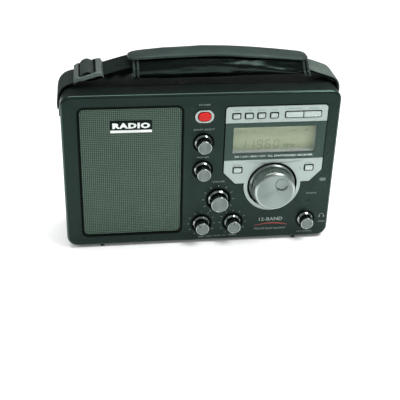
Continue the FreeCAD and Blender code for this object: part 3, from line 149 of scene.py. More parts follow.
class Finish:
    """One Principled material, built up in layers from noise in object space."""

    def __init__(self, name, color, roughness, metallic=0.0, **sockets):
        self.name = name
        self.material = bpy.data.materials.new("finish_" + name)
        self.material.use_nodes = True
        self.tree = self.material.node_tree
        self.bsdf = self.tree.nodes["Principled BSDF"]
        self.bsdf.inputs["Base Color"].default_value = (*color, 1)
        self.bsdf.inputs["Roughness"].default_value = roughness
        self.bsdf.inputs["Metallic"].default_value = metallic
        for socket, number in sockets.items():
            self.bsdf.inputs[socket.replace("_", " ")].default_value = number
        if max(color) < 0.1 and metallic == 0:
            self.bsdf.inputs["Specular Tint"].default_value = (0.60, 1.0, 0.84, 1)
        self.color, self.roughness = color, roughness
        self.space = self.add("ShaderNodeTexCoord").outputs["Object"]
        self.base = self.normal = None

    def add(self, kind, **values):
        """A node with its sockets or settings filled in."""
        made = self.tree.nodes.new(kind)
        for key, number in values.items():
            if key in made.inputs:
                made.inputs[key].default_value = number
            else:
                setattr(made, key, number)
        return made

    def link(self, source, target):
        self.tree.links.new(source, target)

    def place(self, stretch):
        """Object space, scaled if a stretch is given."""
        if not stretch:
            return self.space
        mapping = self.add("ShaderNodeMapping", Scale=stretch)
        self.link(self.space, mapping.inputs["Vector"])
        return mapping.outputs["Vector"]

    def noise(self, scale, detail=3.0, stretch=None):
        """Noise with scale features per metre."""
        made = self.add("ShaderNodeTexNoise", Scale=scale, Detail=detail)
        self.link(self.place(stretch), made.inputs["Vector"])
        return made.outputs["Fac"]

    def cells(self, scale):
        made = self.add("ShaderNodeTexVoronoi", Scale=scale)
        self.link(self.space, made.inputs["Vector"])
        return made.outputs["Distance"]

    def waves(self, scale, direction, kind="BANDS"):
        made = self.add("ShaderNodeTexWave", wave_type=kind, Scale=scale)
        setattr(made, "bands_direction" if kind == "BANDS" else "rings_direction", direction)
        self.link(self.space, made.inputs["Vector"])
        return made.outputs["Fac"]

    def range(self, source, low, high, start=0.3, end=0.7):
        return map_range(self.tree, source, low, high, start, end)

    def times(self, first, second):
        made = self.add("ShaderNodeMath", operation="MULTIPLY")
        self.link(first, made.inputs[0])
        self.link(second, made.inputs[1])
        return made.outputs["Value"]

    def mottle(self, scale, spread, stretch=None):
        """Base colour darker and lighter by a share, in soft patches."""
        mix = self.add("ShaderNodeMix", data_type="RGBA")
        for socket, factor in ((6, 1 - spread), (7, 1 + spread)):
            mix.inputs[socket].default_value = (*[min(1, c * factor) for c in self.color], 1)
        self.link(self.range(self.noise(scale, stretch=stretch), 0.0, 1.0), mix.inputs[0])
        return self.paint(mix)

    def paint(self, mix):
        self.base = mix.outputs[2]
        self.link(self.base, self.bsdf.inputs["Base Color"])
        return self

    def overlay(self, factor, color):
        """Lay a colour over the base where factor is high."""
        mix = self.add("ShaderNodeMix", data_type="RGBA")
        self.link(factor, mix.inputs[0])
        self.link(self.base, mix.inputs[6])
        mix.inputs[7].default_value = (*color, 1)
        return self.paint(mix)

    def worn(self, color, amount):
        """Edges rubbed paler, and broken up by noise."""
        edge = self.range(self.add("ShaderNodeNewGeometry").outputs["Pointiness"],
                          0.0, amount, 0.52, 0.6)
        return self.overlay(self.times(edge, self.range(self.noise(260), 0.2, 1.0)), color)

    def gloss(self, scale, spread, stretch=None):
        """Roughness that varies over the surface."""
        source = self.noise(scale, stretch=stretch)
        self.link(self.range(source, self.roughness - spread, self.roughness + spread),
                  self.bsdf.inputs["Roughness"])
        return self

    def bump(self, height, distance, strength=1.0):
        """Add a height field over the earlier ones."""
        made = self.add("ShaderNodeBump", Strength=strength, Distance=distance)
        self.link(height, made.inputs["Height"])
        if self.normal:
            self.link(self.normal, made.inputs["Normal"])
        self.normal = made.outputs["Normal"]
        self.link(self.normal, self.bsdf.inputs["Normal"])
        return self

    def spun(self, anisotropy):
        """Highlights that run round the Y axis, as on a turned face."""
        self.bsdf.inputs["Anisotropic"].default_value = anisotropy
        tangent = self.add("ShaderNodeTangent", direction_type="RADIAL", axis="Y")
        self.link(tangent.outputs["Tangent"], self.bsdf.inputs["Tangent"])
        return self


def moulded(name, color, roughness, grain=1500, depth=0.00003, shine=0.5):
    """Moulded plastic: spark-eroded grain, soft mottling, uneven gloss."""
    finish = Finish(name, color, roughness, Specular_IOR_Level=shine)
    finish.mottle(30, 0.14).gloss(45, 0.05)
    return finish.bump(finish.noise(grain, 2), depth, 0.6)


def painted(name, color, roughness, metallic):
    """Silver paint: fine flake, faint scuffs, slight orange peel."""
    finish = Finish(name, color, roughness, metallic)
    finish.mottle(2200, 0.07).gloss(60, 0.06)
    return finish.bump(finish.noise(420, 2), 0.00003, 0.3)


def drawn(name, color, roughness, stretch):
    """Bare metal with fine drawing or rolling marks along one axis."""
    finish = Finish(name, color, roughness, 1.0)
    finish.mottle(300, 0.1, stretch).gloss(500, 0.06, stretch)
    return finish.bump(finish.noise(900, 3, stretch), 0.00002, 0.35)


def leather(name, color, roughness):
    """Imitation leather: pebbled grain, fine creases, worn and dusty patches."""
    finish = Finish(name, color, roughness, Coat_Weight=0.1, Coat_Roughness=0.2,
                    Specular_IOR_Level=0.22)
    finish.mottle(28, 0.22).gloss(38, 0.08, (0.5, 1, 1))
    finish.bump(finish.cells(1100), 0.00016, 0.35)
    return finish.bump(finish.noise(150, 4, (0.4, 1.2, 1.2)), 0.0005, 0.35)


def woven(name, color, roughness):
    """Nylon webbing: rows of weft ribs crossed by warp threads, with a soft sheen."""
    finish = Finish(name, color, roughness, Specular_IOR_Level=0.14)
    finish.mottle(45, 0.2).gloss(60, 0.06)
    weave = finish.times(finish.waves(480, "Y"), finish.waves(330, "X"))
    finish.overlay(finish.range(weave, 0.0, 0.35), tuple(c * 2.2 for c in color))
    finish.bump(weave, 0.00025, 0.55)
    return finish.bump(finish.noise(2500, 2), 0.0001, 0.4)


# name, colour, roughness, grain per metre, depth of the grain, specular level
MOULDED = (
    ("case_plastic", (0.0035, 0.0062, 0.0054), 0.32, 1500, 0.00003, 0.24),
    ("polished_plastic", (0.006, 0.0098, 0.0086), 0.15, 1500, 0.00001, 0.7),
    ("black_plastic", (0.012, 0.013, 0.013), 0.42),
    # near-black: the seam's and knob pointers' own colour, and painted shade in the gaps round keys, grille and
    # trim and in the knob recesses
    ("groove_black", (0.0012, 0.0016, 0.0015), 0.7, 1500, 0.00003, 0.08),
    ("foot_rubber", (0.011, 0.011, 0.011), 0.8, 900, 0.0001),
    ("dark_bezel", (0.013, 0.019, 0.017), 0.17, 2400, 0.00001, 0.42),
    ("badge_plate", (0.003, 0.005, 0.0045), 0.2, 2400, 0.00001, 0.12),
    ("badge_silver", (0.72, 0.76, 0.74), 0.3, 1800, 0.00001),
    ("red_key", (0.47, 0.007, 0.005), 0.22, 1500, 0.00002, 0.22),
    ("display_holder", (0.42, 0.46, 0.44), 0.5),
    ("circuit_board", (0.012, 0.10, 0.035), 0.35, 700),
    ("ribbon", (0.42, 0.42, 0.40), 0.5),
    ("ferrite", (0.04, 0.04, 0.042), 0.55, 900, 0.0001),
    ("magnet", (0.05, 0.05, 0.05), 0.6, 500, 0.0001),
    ("cone_paper", (0.02, 0.02, 0.02), 0.9, 700, 0.0002),
    ("pressed_steel", (0.03, 0.03, 0.032), 0.4, 400),
    ("cell_jacket", (0.04, 0.16, 0.30), 0.3, 600, 0.00002),
    ("legend_pale", (0.20, 0.24, 0.22), 0.6, 3000, 0.00001),
    ("legend_bright", (0.50, 0.55, 0.53), 0.6, 3000, 0.00001),
    ("legend_name", (0.25, 0.30, 0.28), 0.6, 3000, 0.00001),
    ("legend_dark", (0.10, 0.125, 0.115), 0.6, 3000, 0.00001),
    ("legend_red", (0.42, 0.05, 0.045), 0.5, 3000, 0.00001),
    ("buckle_plastic", (0.062, 0.074, 0.068), 0.28),
    ("grille_cloth", (0.006, 0.007, 0.007), 0.95, 1800, 0.0002),
)
# name, colour, roughness, metallic
PAINTED = (
    ("silver_trim", (0.295, 0.355, 0.332), 0.33, 0.3),
    ("silver_key", (0.34, 0.40, 0.375), 0.25, 0.35),
    ("polished_trim", (0.30, 0.34, 0.325), 0.22, 0.7),
    ("grille_metal", (0.064, 0.107, 0.080), 0.36, 0.5),
    ("knob_metal", (0.36, 0.41, 0.39), 0.17, 1.0),
    ("knob_satin", (0.38, 0.435, 0.412), 0.32, 1.0),
)
# name, colour, roughness, and how the marks are drawn out
DRAWN = (
    ("copper_wire", (0.62, 0.30, 0.14), 0.35, (8, 1, 1)),
    ("plated_steel", (0.26, 0.265, 0.26), 0.36, (1, 6, 1)),
    ("nickel_socket", (0.66, 0.65, 0.60), 0.24, (1, 6, 1)),
    ("chromed_tube", (0.82, 0.83, 0.83), 0.1, (0.2, 8, 8)),
)
# name, colour, roughness
LEATHER = (
    ("grip_leather", (0.0018, 0.0022, 0.0021), 0.25),
    ("flap_leather", (0.019, 0.0265, 0.0245), 0.34),
)
# name, colour, roughness; one strap in lit and shaded copies: the right run's paler copy is painted light, and the
# plain webbing, darkest, is painted shade on the runs that lie underneath
WOVEN = (
    ("webbing", (0.005, 0.0075, 0.0065), 0.65),
    ("webbing_ribbed", (0.016, 0.021, 0.019), 0.6),
    ("webbing_loop", (0.022, 0.028, 0.025), 0.6),
    ("webbing_pale", (0.054, 0.066, 0.06), 0.6),
)
# name, colour, roughness; the dimple's colour is the wide face's, darkened as painted shade in the hollow
SPUN = (
    ("spun_face", (0.132, 0.158, 0.149), 0.36),
    ("spun_face_wide", (0.188, 0.228, 0.214), 0.36),
    ("spun_dimple", (0.17, 0.20, 0.19), 0.3),
)
# name: colour of the rubbed edges, how far the wear goes
WORN = {"case_plastic": ((0.04, 0.05, 0.047), 0.2), "buckle_plastic": ((0.2, 0.24, 0.22), 0.5)}


def turned_metal(name, color, roughness):
    """A lathe-turned face: fine rings, and highlights that run round it."""
    finish = Finish(name, color, roughness, 0.9)
    finish.mottle(60, 0.05).gloss(90, 0.05).spun(0.9)
    return finish.bump(finish.waves(900, "Y", "RINGS"), 0.00002, 0.2)


def make_materials():
    """Every finish by its name."""
    finishes = [make(*row) for make, rows in (
        (moulded, MOULDED), (painted, PAINTED), (drawn, DRAWN), (leather, LEATHER),
        (woven, WOVEN), (turned_metal, SPUN)) for row in rows]
    for finish in finishes:
        if finish.name in WORN:
            finish.worn(*WORN[finish.name])

    glass = Finish("lcd", (0.55, 0.615, 0.41), 0.32)
    glass.mottle(16, 0.07).gloss(60, 0.04)
    finishes.append(glass.bump(glass.noise(3000, 1), 0.00001, 0.2))
    segment = Finish("lcd_segment", (0.24, 0.27, 0.17), 0.4)
    finishes.append(segment.mottle(60, 0.1).gloss(60, 0.05))

    lens = Finish("clear_lens", (0.05, 0.06, 0.055), 0.06, Alpha=0.14)
    finishes.append(lens.mottle(30, 0.1).gloss(40, 0.02))
    return {finish.name: finish.material for finish in finishes}


def add_bevel(piece, width, degrees):
    """Round the edges that turn by more than some degrees."""
    bevel = piece.modifiers.new("edge", "BEVEL")
    bevel.width, bevel.segments = width, 2
    bevel.limit_method, bevel.angle_limit = "ANGLE", radians(degrees)
    return bevel


def dress_cad_nodes():
    """The record's slot gives each CAD node its finish; sharp trim edges get a small bevel."""
    for part in frame["record"]["subparts"]:
        if part["material_slot"] in MATERIALS:
            slots = NODES[part["node"]].data.materials
            slots.clear()
            slots.append(MATERIALS[part["material_slot"]])
    for name in ("key_panel", "tuning_panel", "display_bezel", "power_bezel", "battery_cover",
                 "sensor_window", "rubber_feet", "strap_lugs"):
        NODES[name].modifiers.new("weld", "WELD").merge_threshold = 0.00001
        add_bevel(NODES[name], 0.0003, 40).harden_normals = True


# ---- mesh helpers ----


def add_piece(name, vertices, faces, finish, body="case", slot=None, at=(0, 0, 0), crease=35):
    """A mesh object in the row frame, its origin at a point, riding on a body."""
    mesh = bpy.data.meshes.new(name)
    mesh.from_pydata([tuple(v) for v in vertices], [], faces)
    mesh.validate()
    mesh.materials.append(MATERIALS[finish])
    edit = bmesh.new()
    edit.from_mesh(mesh)
    bmesh.ops.recalc_face_normals(edit, faces=edit.faces)
    edit.to_mesh(mesh)
    edit.free()
    mesh.shade_smooth()
    mesh.set_sharp_from_angle(angle=radians(crease))
    piece = bpy.data.objects.new(name, mesh)
    bpy.context.scene.collection.objects.link(piece)
    piece.location = at
    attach(piece, body)
    return piece


def join_rings(rings, caps=True):
    """Vertices and faces of a skin over rings with equal numbers of points."""
    count = len(rings[0])
    vertices = [point for ring in rings for point in ring]
    faces = []
    for row in range(len(rings) - 1):
        for index in range(count):
            a, b = row * count + index, row * count + (index + 1) % count
            faces.append((a, b, b + count, a + count))
    if caps:
        faces.append(tuple(range(count)))
        faces.append(tuple(range((len(rings) - 1) * count, len(rings) * count)))
    return vertices, faces


def join_loop(rings):
    """The same skin with its last ring joined to its first."""
    return join_rings(rings + rings[:1], caps=False)


def merge(parts):
    """One vertex and face list from several."""
    vertices, faces = [], []
    for part_vertices, part_faces in parts:
        start = len(vertices)
        vertices += part_vertices
        faces += [tuple(start + index for index in face) for face in part_faces]
    return vertices, faces


def circle(steps):
    """Cosine and sine at even steps of a full turn."""
    return [(cos(tau * i / steps), sin(tau * i / steps)) for i in range(steps)]


def hoops(profile, steps):
    """Rings about -Y from (radius, height) pairs in mm."""
    return [[(radius * MM * c, -height * MM, radius * MM * s) for c, s in circle(steps)]
            for radius, height in profile]


def smooth_line(points, steps, closed=False):
    """Points along a Catmull-Rom curve, with a number of steps between control points."""
    knots = [Vector(p) for p in points]
    if closed:
        knots = knots[-1:] + knots + knots[:2]
    else:
        knots = [2 * knots[0] - knots[1]] + knots + [2 * knots[-1] - knots[-2]]
    line = []
    for a, b, c, d in zip(knots, knots[1:], knots[2:], knots[3:]):
        for step in range(steps):
            t = step / steps
            line.append(0.5 * (2 * b + (c - a) * t + (2 * a - 5 * b + 4 * c - d) * t * t
                               + (3 * b - a - 3 * c + d) * t ** 3))
    return line if closed else line + [knots[-2]]


def rounded_outline(left, low, right, high, corners, steps=6):
    """A rectangle in XZ with its own radius at each corner, from the lower right."""
    centres = ((right, low, 1, -1, -90), (right, high, 1, 1, 0),
               (left, high, -1, 1, 90), (left, low, -1, -1, 180))
    outline = []
    for (x, z, sx, sz, start), radius in zip(centres, corners):
        for step in range(steps + 1):
            angle = radians(start + 90 * step / steps)
            outline.append((x - sx * radius + radius * cos(angle),
                            z - sz * radius + radius * sin(angle)))
    return outline


def plate(outline, back, front, edge=0.0):
    """A plate over an XZ outline, its front edge softened by a small chamfer."""
    middle = Vector((sum(x for x, z in outline), sum(z for x, z in outline))) / len(outline)

    def ring(y, inset):
        made = []
        for x, z in outline:
            away = Vector((x, z)) - middle
            shrunk = middle + away * (1 - inset / max(away.length, inset + 1e-9))
            made.append((shrunk.x, y, shrunk.y))
        return made

    direction = 1 if back > front else -1
    rings = [ring(back, 0), ring(front + direction * edge, 0)]
    if edge:
        rings += [ring(front + direction * edge * 0.3, edge * 0.3), ring(front, edge)]
    return join_rings(rings)


def letters(text, x, z, height, y, wide=1.0, lean=0.0, gap=1.0, bold=0.0, depth=INK):
    """Raised letters centred at x, z, in metres, facing the front."""
    curve = bpy.data.curves.new("letters", "FONT")
    curve.body = text
    curve.size = height / 0.72
    curve.align_x, curve.align_y = "CENTER", "CENTER"
    curve.extrude = depth / 2
    curve.offset = bold
    curve.resolution_u = 2
    curve.space_character = gap
    curve.shear = lean
    holder = bpy.data.objects.new("letters", curve)
    bpy.context.scene.collection.objects.link(holder)
    bpy.context.view_layer.update()
    mesh = bpy.data.meshes.new_from_object(holder)
    vertices = [(x + v.co.x * wide, y - v.co.z - depth / 2, z + v.co.y) for v in mesh.vertices]
    faces = [tuple(face.vertices) for face in mesh.polygons]
    bpy.data.objects.remove(holder)
    bpy.data.curves.remove(curve)
    bpy.data.meshes.remove(mesh)
    return vertices, faces


def bar(start, end, width, y, depth=INK):
    """A thin printed line between two XZ points."""
    a, b = Vector(start), Vector(end)
    side = (b - a).normalized().orthogonal() * width / 2
    corners = [a + side, b + side, b - side, a - side]
    return join_rings([[(p.x, y, p.y) for p in corners],
                       [(p.x, y - depth, p.y) for p in corners]])


# ---- speaker grille and badge ----


def make_grille():
    """Perforated sheet with rolled edges, in front of black cloth."""
    low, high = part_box("speaker_grille")
    centre = (low + high) / 2
    width, tall = high.x - low.x, high.z - low.z
    front, back = low.y, low.y + 0.0007
    pitch, hole, corner, rim = 0.0021, 0.00079, 0.005, 0.0009
    columns, rows = int((width - 2 * rim) / pitch), int((tall - 2 * rim) / pitch)
    spokes = [(1, 0), (1, 1), (0, 1), (-1, 1), (-1, 0), (-1, -1), (0, -1), (1, -1)]
    vertices, index, faces = [], {}, []

    def vertex(x, y, z):
        key = (round(x * 1e7), round(y * 1e7), round(z * 1e7))
        if key not in index:
            index[key] = len(vertices)
            vertices.append((x, y, z))
        return index[key]

    def skin(rings):
        for inner, outer in zip(rings, rings[1:]):
            for k in range(len(inner)):
                n = (k + 1) % len(inner)
                faces.append((inner[k], inner[n], outer[n], outer[k]))

    for row in range(rows):
        z = centre.z + (row - (rows - 1) / 2) * pitch
        for column in range(columns):
            x = centre.x + (column - (columns - 1) / 2) * pitch
            rings = []
            for y, reach in ((front, None), (front, hole), (back, hole), (back, None)):
                ring = []
                for sx, sz in spokes:
                    step = pitch / 2 if reach is None else reach / hypot(sx, sz)
                    ring.append(vertex(x + sx * step, y, z + sz * step))
                rings.append(ring)
            skin(rings)

    half_x, half_z = columns * pitch / 2, rows * pitch / 2
    border = [(-half_x + k * pitch / 2, -half_z) for k in range(2 * columns)]
    border += [(half_x, -half_z + k * pitch / 2) for k in range(2 * rows)]
    border += [(half_x - k * pitch / 2, half_z) for k in range(2 * columns)]
    border += [(-half_x, half_z - k * pitch / 2) for k in range(2 * rows)]

    def outline(inset):
        made = []
        for x, z in border:
            hub = Vector((max(-width / 2 + corner, min(width / 2 - corner, x)),
                          max(-tall / 2 + corner, min(tall / 2 - corner, z))))
            away = (Vector((x, z)) - hub).normalized()
            made.append(hub + away * (corner - inset))
        return made

    levels = [(None, front), (0.0009, front), (0.0003, front + 0.0002), (0, front + 0.0006),
              (0, high.y), (0.0006, high.y), (0.0006, back), (None, back)]
    rings = []
    for inset, y in levels:
        points = [Vector(p) for p in border] if inset is None else outline(inset)
        rings.append([vertex(centre.x + p.x, y, centre.z + p.y) for p in points])
    skin(rings)
    sheet = add_piece("grille_sheet", vertices, faces, "grille_metal", crease=30)
    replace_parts(sheet, "speaker_grille")

    inset = 0.0012
    cloth = rounded_outline(low.x + inset, low.z + inset, high.x - inset, high.z - inset,
                            [corner] * 4)
    add_piece("grille_cloth", *plate(cloth, high.y - 0.00005, back + 0.0001), "grille_cloth",
              slot="cone_paper")


def make_badge():
    """Black plate in a raised rim, with a pale word and a pale bar under it."""
    low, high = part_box("grille_badge")
    middle_x = (low.x + high.x) / 2
    edge = 0.0007
    foot = low.z + 0.0031
    rim = plate(rounded_outline(low.x, low.z, high.x, high.z, [0.0008] * 4), high.y,
                low.y + 0.0004, 0.0003)
    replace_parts(add_piece("badge_rim", *rim, "badge_plate"), "grille_badge")
    panel = plate(rounded_outline(low.x + edge, foot, high.x - edge, high.z - edge,
                                  [0.0004] * 4), high.y, low.y + 0.0002, 0.0001)
    add_piece("badge_panel", *panel, "badge_plate")
    word = letters("RADIO", middle_x, (foot + high.z) / 2 - 0.0005, 0.0056, low.y + 0.0002,
                   1.52, gap=1.12, bold=0.00042, depth=0.0002)
    strip = plate(rounded_outline(low.x + 0.0002, low.z + 0.0002, high.x - 0.0002, foot,
                                  [0.0003] * 4), high.y, low.y + 0.0001, 0.0001)
    add_piece("badge_word", *merge([word, strip]), "badge_silver", slot="silver_trim")


# ---- knobs ----

# body, skirt radius, face radius, height in front of the case, pointer angle, recess radius
KNOBS = (
    ("band_knob", 9.5, 7.5, 13.4, None, 11.2),
    ("bandwidth_knob", 9.5, 7.5, 13.4, None, 11.2),
    ("volume_knob", 11.4, 9.5, 12.9, None, 13.6),
    ("bass_knob", 9.4, 7.4, 13.0, -40, 11.5),
    ("treble_knob", 9.4, 7.4, 13.0, 0, 11.5),
    ("fine_knob", 9.0, 7.1, 11.7, None, 10.6),
)
WIDE_SKIRT = 25.7          # skirt radius of the tuning knob, in mm


def knob_centre(body):
    """Where the knob's joint is."""
    return Vector(JOINTS[body.replace("_knob", "_turn")]["pos_m"])


def turn(name, profile, steps, finish, body, crease=35):
    """A solid turned about a knob's axis from its profile in mm."""
    return add_piece(name, *join_rings(hoops(profile, steps)), finish, body, "knob_metal",
                     knob_centre(body), crease)


def make_small_knob(body, skirt, face, proud, pointer):
    """Skirt with a bright sloping shoulder, straight grip, and a spun face in a rounded rim."""
    side = [(BORE, -SINK), (skirt - 0.3, -SINK), (skirt, -SINK + 0.3), (skirt, 0.3),
            (skirt - 0.1, 0.6), (skirt - 0.35, 0.95), (skirt - 1.5, 2.0),
            (skirt - 1.75, 2.35), (skirt - 1.85, 2.9), (face + 0.12, 5.0),
            (face + 0.1, proud - 1.3), (face + 0.04, proud - 0.8), (face - 0.14, proud - 0.4),
            (face - 0.4, proud - 0.12), (face - 0.65, proud - 0.05),
            (face - 0.85, proud - 0.15), (face - 0.95, proud - 0.5), (BORE, proud - 0.5)]
    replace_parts(turn(body + "_side", side, 96, "knob_metal", body, 50), body)
    top = [(face - 0.9, proud - 0.6), (face - 0.9, proud - 0.14), (face * 0.6, proud - 0.18),
           (0.05, proud - 0.22)]
    turn(body + "_face", top, 96, "spun_face", body)
    if pointer is not None:
        angle = radians(pointer)
        aim = Vector((sin(angle), cos(angle)))
        line = bar(aim * (face - 4.4) * MM, aim * (face - 0.8) * MM, 0.0007,
                   -(proud - 0.16) * MM, 0.00018)
        add_piece(body + "_pointer", *line, "groove_black", body, "black_plastic",
                  knob_centre(body))


def make_tuning_knob():
    """Wide domed knob with a finger dimple near the rim of its spun face."""
    body, skirt, face, proud = "tuning_knob", WIDE_SKIRT, 22.7, 18.0
    dimple_x, dimple_z, dimple_reach, dimple_deep = 7.0, 9.0, 7.6, 2.7
    face_rings, bowl_rings = 43, 13
    centre = knob_centre(body)
    side = [(BORE, -SINK), (skirt - 0.5, -SINK), (skirt, -SINK + 0.5), (skirt, 0.8),
            (skirt - 0.15, 1.3), (skirt - 0.5, 1.8), (skirt - 1.5, 2.9), (skirt - 1.8, 3.4),
            (skirt - 1.95, 4.4), (skirt - 2.15, 9.0), (skirt - 2.45, 13.6),
            (skirt - 2.75, 15.0), (face - 0.05, 15.6), (face - 0.45, 16.25),
            (face - 1.6, 17.35), (face - 2.2, 17.74), (face - 2.6, 17.78), (face - 3.2, 14.4),
            (BORE, 14.4)]
    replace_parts(turn(body + "_side", side, 128, "knob_satin", body, 50), body)

    rings = hoops(((face - 2.6, 16.6), (face - 2.45, 17.5), (face - 2.6, 17.84)), 128)
    for ring in range(face_rings + 1):
        radius = max((face - 2.8) * (1 - ring / face_rings), 0.04)
        points = []
        for c, s in circle(128):
            x, z = radius * c, radius * s
            away = hypot(x - dimple_x, z - dimple_z) / dimple_reach
            sink = dimple_deep * max(0, 1 - away * away) ** 0.8 if away < 1 else 0
            points.append((x * MM, -(proud - 0.1 - sink) * MM, z * MM))
        rings.append(points)
    add_piece(body + "_face", *join_rings(rings), "spun_face_wide", body, "knob_metal", centre,
              crease=60)
    bowl = []
    for ring in range(-bowl_rings, bowl_rings + 1):
        share = max(0.97 * (1 - abs(ring) / bowl_rings), 0.01)
        height = proud - 0.06 - dimple_deep * (1 - share * share) ** 0.8
        height -= 0.3 if ring < 0 else 0
        bowl.append([((dimple_x + dimple_reach * share * c) * MM, -height * MM,
                      (dimple_z + dimple_reach * share * s) * MM) for c, s in circle(48)])
    # the dimple takes a darker copy of the face's finish: painted shade in its hollow
    add_piece(body + "_dimple", *join_rings(bowl), "spun_dimple", body, "knob_metal", centre)


def make_recess_rings():
    """Very dark cup in each knob's recess, painted shade, with a thin lip on the case round it."""
    for body, skirt, recess, lip in ([(row[0], row[1], row[5], 0.45) for row in KNOBS]
                                     + [("tuning_knob", WIDE_SKIRT, 27.9, 0.0)]):
        inside, wall = skirt - 1.5, recess - 0.04
        section = [(inside, -1.75), (wall, -1.75), (wall, 0.02), (recess + lip, 0.02),
                   (recess + lip, 0.12), (recess - 0.3, 0.12), (recess - 0.45, -1.4),
                   (inside, -1.4)]
        add_piece(body + "_cup", *join_loop(hoops(section, 72)), "groove_black", "case",
                  "black_plastic", knob_centre(body))


# ---- display and printing ----

# segments of a digit: top, upper right, lower right, bottom, lower left, upper left, middle
DIGITS = {"0": "1111110", "1": "0110000", "4": "0110011", "5": "1011011", "6": "1011111",
          "9": "1111011"}


def digit(shape, x, z, height, y, width):
    """One seven-segment figure from its lower left corner, leaning slightly."""
    half, wide, lean = height / 2, height * 0.52, 0.09
    gap = width * 0.7
    spots = [((gap, height), (wide - gap, height)), ((wide, height - gap), (wide, half + gap)),
             ((wide, half - gap), (wide, gap)), ((gap, 0), (wide - gap, 0)),
             ((0, gap), (0, half - gap)), ((0, half + gap), (0, height - gap)),
             ((gap, half), (wide - gap, half))]
    return [bar((x + a[0] + lean * a[1], z + a[1]), (x + b[0] + lean * b[1], z + b[1]),
                width, y) for a, b, lit in zip(*zip(*spots), DIGITS[shape]) if lit == "1"]


def make_display():
    """Figures and small signs on the glass, all in one piece."""
    low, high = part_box("display_panel")
    y = low.y
    parts = []
    for place, shape in enumerate("11960"):
        parts += digit(shape, 0.0428 + place * 0.0092, 0.1137, 0.0096, y, 0.00075)
    parts.append(letters("kHz", 0.0970, 0.1166, 0.0050, y, 1.1))
    for place, shape in enumerate("0945"):
        parts += digit(shape, 0.0375 + place * 0.0033, 0.1325, 0.0032, y, 0.00035)
    for text, x, z in (("SW", 0.0575, 0.1340), ("STEREO", 0.1010, 0.1340)):
        parts.append(letters(text, x, z, 0.0017, y))
    for step in range(5):
        parts.append(bar((0.1110 + step * 0.0013, 0.1325),
                         (0.1110 + step * 0.0013, 0.1333 + step * 0.0005), 0.0006, y))
    add_piece("display_figures", *merge(parts), "lcd_segment", slot="lcd")


def strip(points, width, y, depth, closed=False):
    """A flat band of even width along XZ points, with mitred bends."""
    count = len(points)
    rings = []
    for i, point in enumerate(points):
        before = Vector(points[i - 1] if i or closed else point)
        after = Vector(points[(i + 1) % count] if i < count - 1 or closed else point)
        here = Vector(point)
        back, ahead = (here - before).normalized(), (after - here).normalized()
        along = (back + ahead).normalized()
        side = Vector((-along.y, along.x))
        reach = width / 2 / max(0.5, along.dot(ahead if ahead.length else back))
        a, b = here + side * reach, here - side * reach
        rings.append([(a.x, y, a.y), (b.x, y, b.y), (b.x, y - depth, b.y),
                      (a.x, y - depth, a.y)])
    return join_loop(rings) if closed else join_rings(rings)


def make_gaps():
    """Black sheets round the keys, the grille and the silver trim: painted shade in their gaps."""
    parts = []
    # first and last key, how far outside them, corner radius and steps, width, depth
    shaded_gaps = [(name, name, 0.00072, 0.0012, 4, 0.0013, 0.00122) for name in (
        "key_1", "key_2", "key_3", "key_4", "lower_key_left", "lower_key_right")]
    shaded_gaps += [("power_button", "power_button", 0.00035, 0.0045, 8, 0.0008, 0.0014),
              ("wide_key_left", "wide_key_right", 0.00062, 0.0012, 4, 0.0011, 0.00122)]
    for first, last, reach, corner, steps, width, depth in shaded_gaps:
        low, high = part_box(first)[0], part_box(last)[1]
        outline = rounded_outline(low.x - reach, low.z + FLANGE - reach, high.x + reach,
                                  high.z - FLANGE + reach, [corner] * 4, steps)
        parts.append(strip(outline, width, FRONT - GAP_SHADE_LIFT, depth, True))
    low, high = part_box("speaker_grille")
    outline = rounded_outline(low.x - 0.0013, low.z - 0.0013, high.x + 0.0009,
                              high.z + 0.0009, [0.006] * 4, 8)
    parts.append(strip(outline, 0.0025, FRONT, 0.00012, True))

    low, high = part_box("key_panel")
    foot, shoulder, cut, ring_radius = 0.0760, 0.0898, 0.013, 0.0319
    round_top = rounded_outline(low.x, low.z, high.x, high.z, [0.0004, 0.0036, 0.0036, 0.0004])
    path = [(0.1095, foot), (high.x - cut, foot), (high.x, shoulder)]
    path += [p for p in round_top if p[1] > low.z + 0.001]
    path += [(low.x, shoulder), (low.x + cut, foot), (0.0489, foot)]
    parts.append(strip(path, 0.0025, FRONT, 0.00015))
    centre = knob_centre("tuning_knob")
    ring = [(centre.x + ring_radius * c, centre.z + ring_radius * s) for c, s in circle(96)]
    parts.append(strip(ring, 0.0022, FRONT, 0.00015, True))
    add_piece("trim_gaps", *merge(parts), "groove_black", slot="black_plastic")


def ticks(body, inner, outer):
    """Eleven scale marks round a knob, 30 degrees apart."""
    centre = knob_centre(body)
    made = []
    for step in range(-5, 6):
        angle = radians(30 * step)
        aim = Vector((sin(angle), cos(angle)))
        hub = Vector((centre.x, centre.z))
        made.append(bar(hub + aim * inner, hub + aim * outer, 0.0005, FRONT))
    return made


def headphone_sign(x, z):
    """Headband and two ear cups."""
    radius = 0.0026
    band = [(x + radius * cos(pi * i / 10), z + radius * sin(pi * i / 10))
            for i in range(11)]
    parts = [bar(a, b, 0.0005, FRONT) for a, b in zip(band, band[1:])]
    for side in (-1, 1):
        parts.append(bar((x + side * radius, z - 0.0022), (x + side * radius, z + 0.0002),
                         0.0013, FRONT))
    return parts


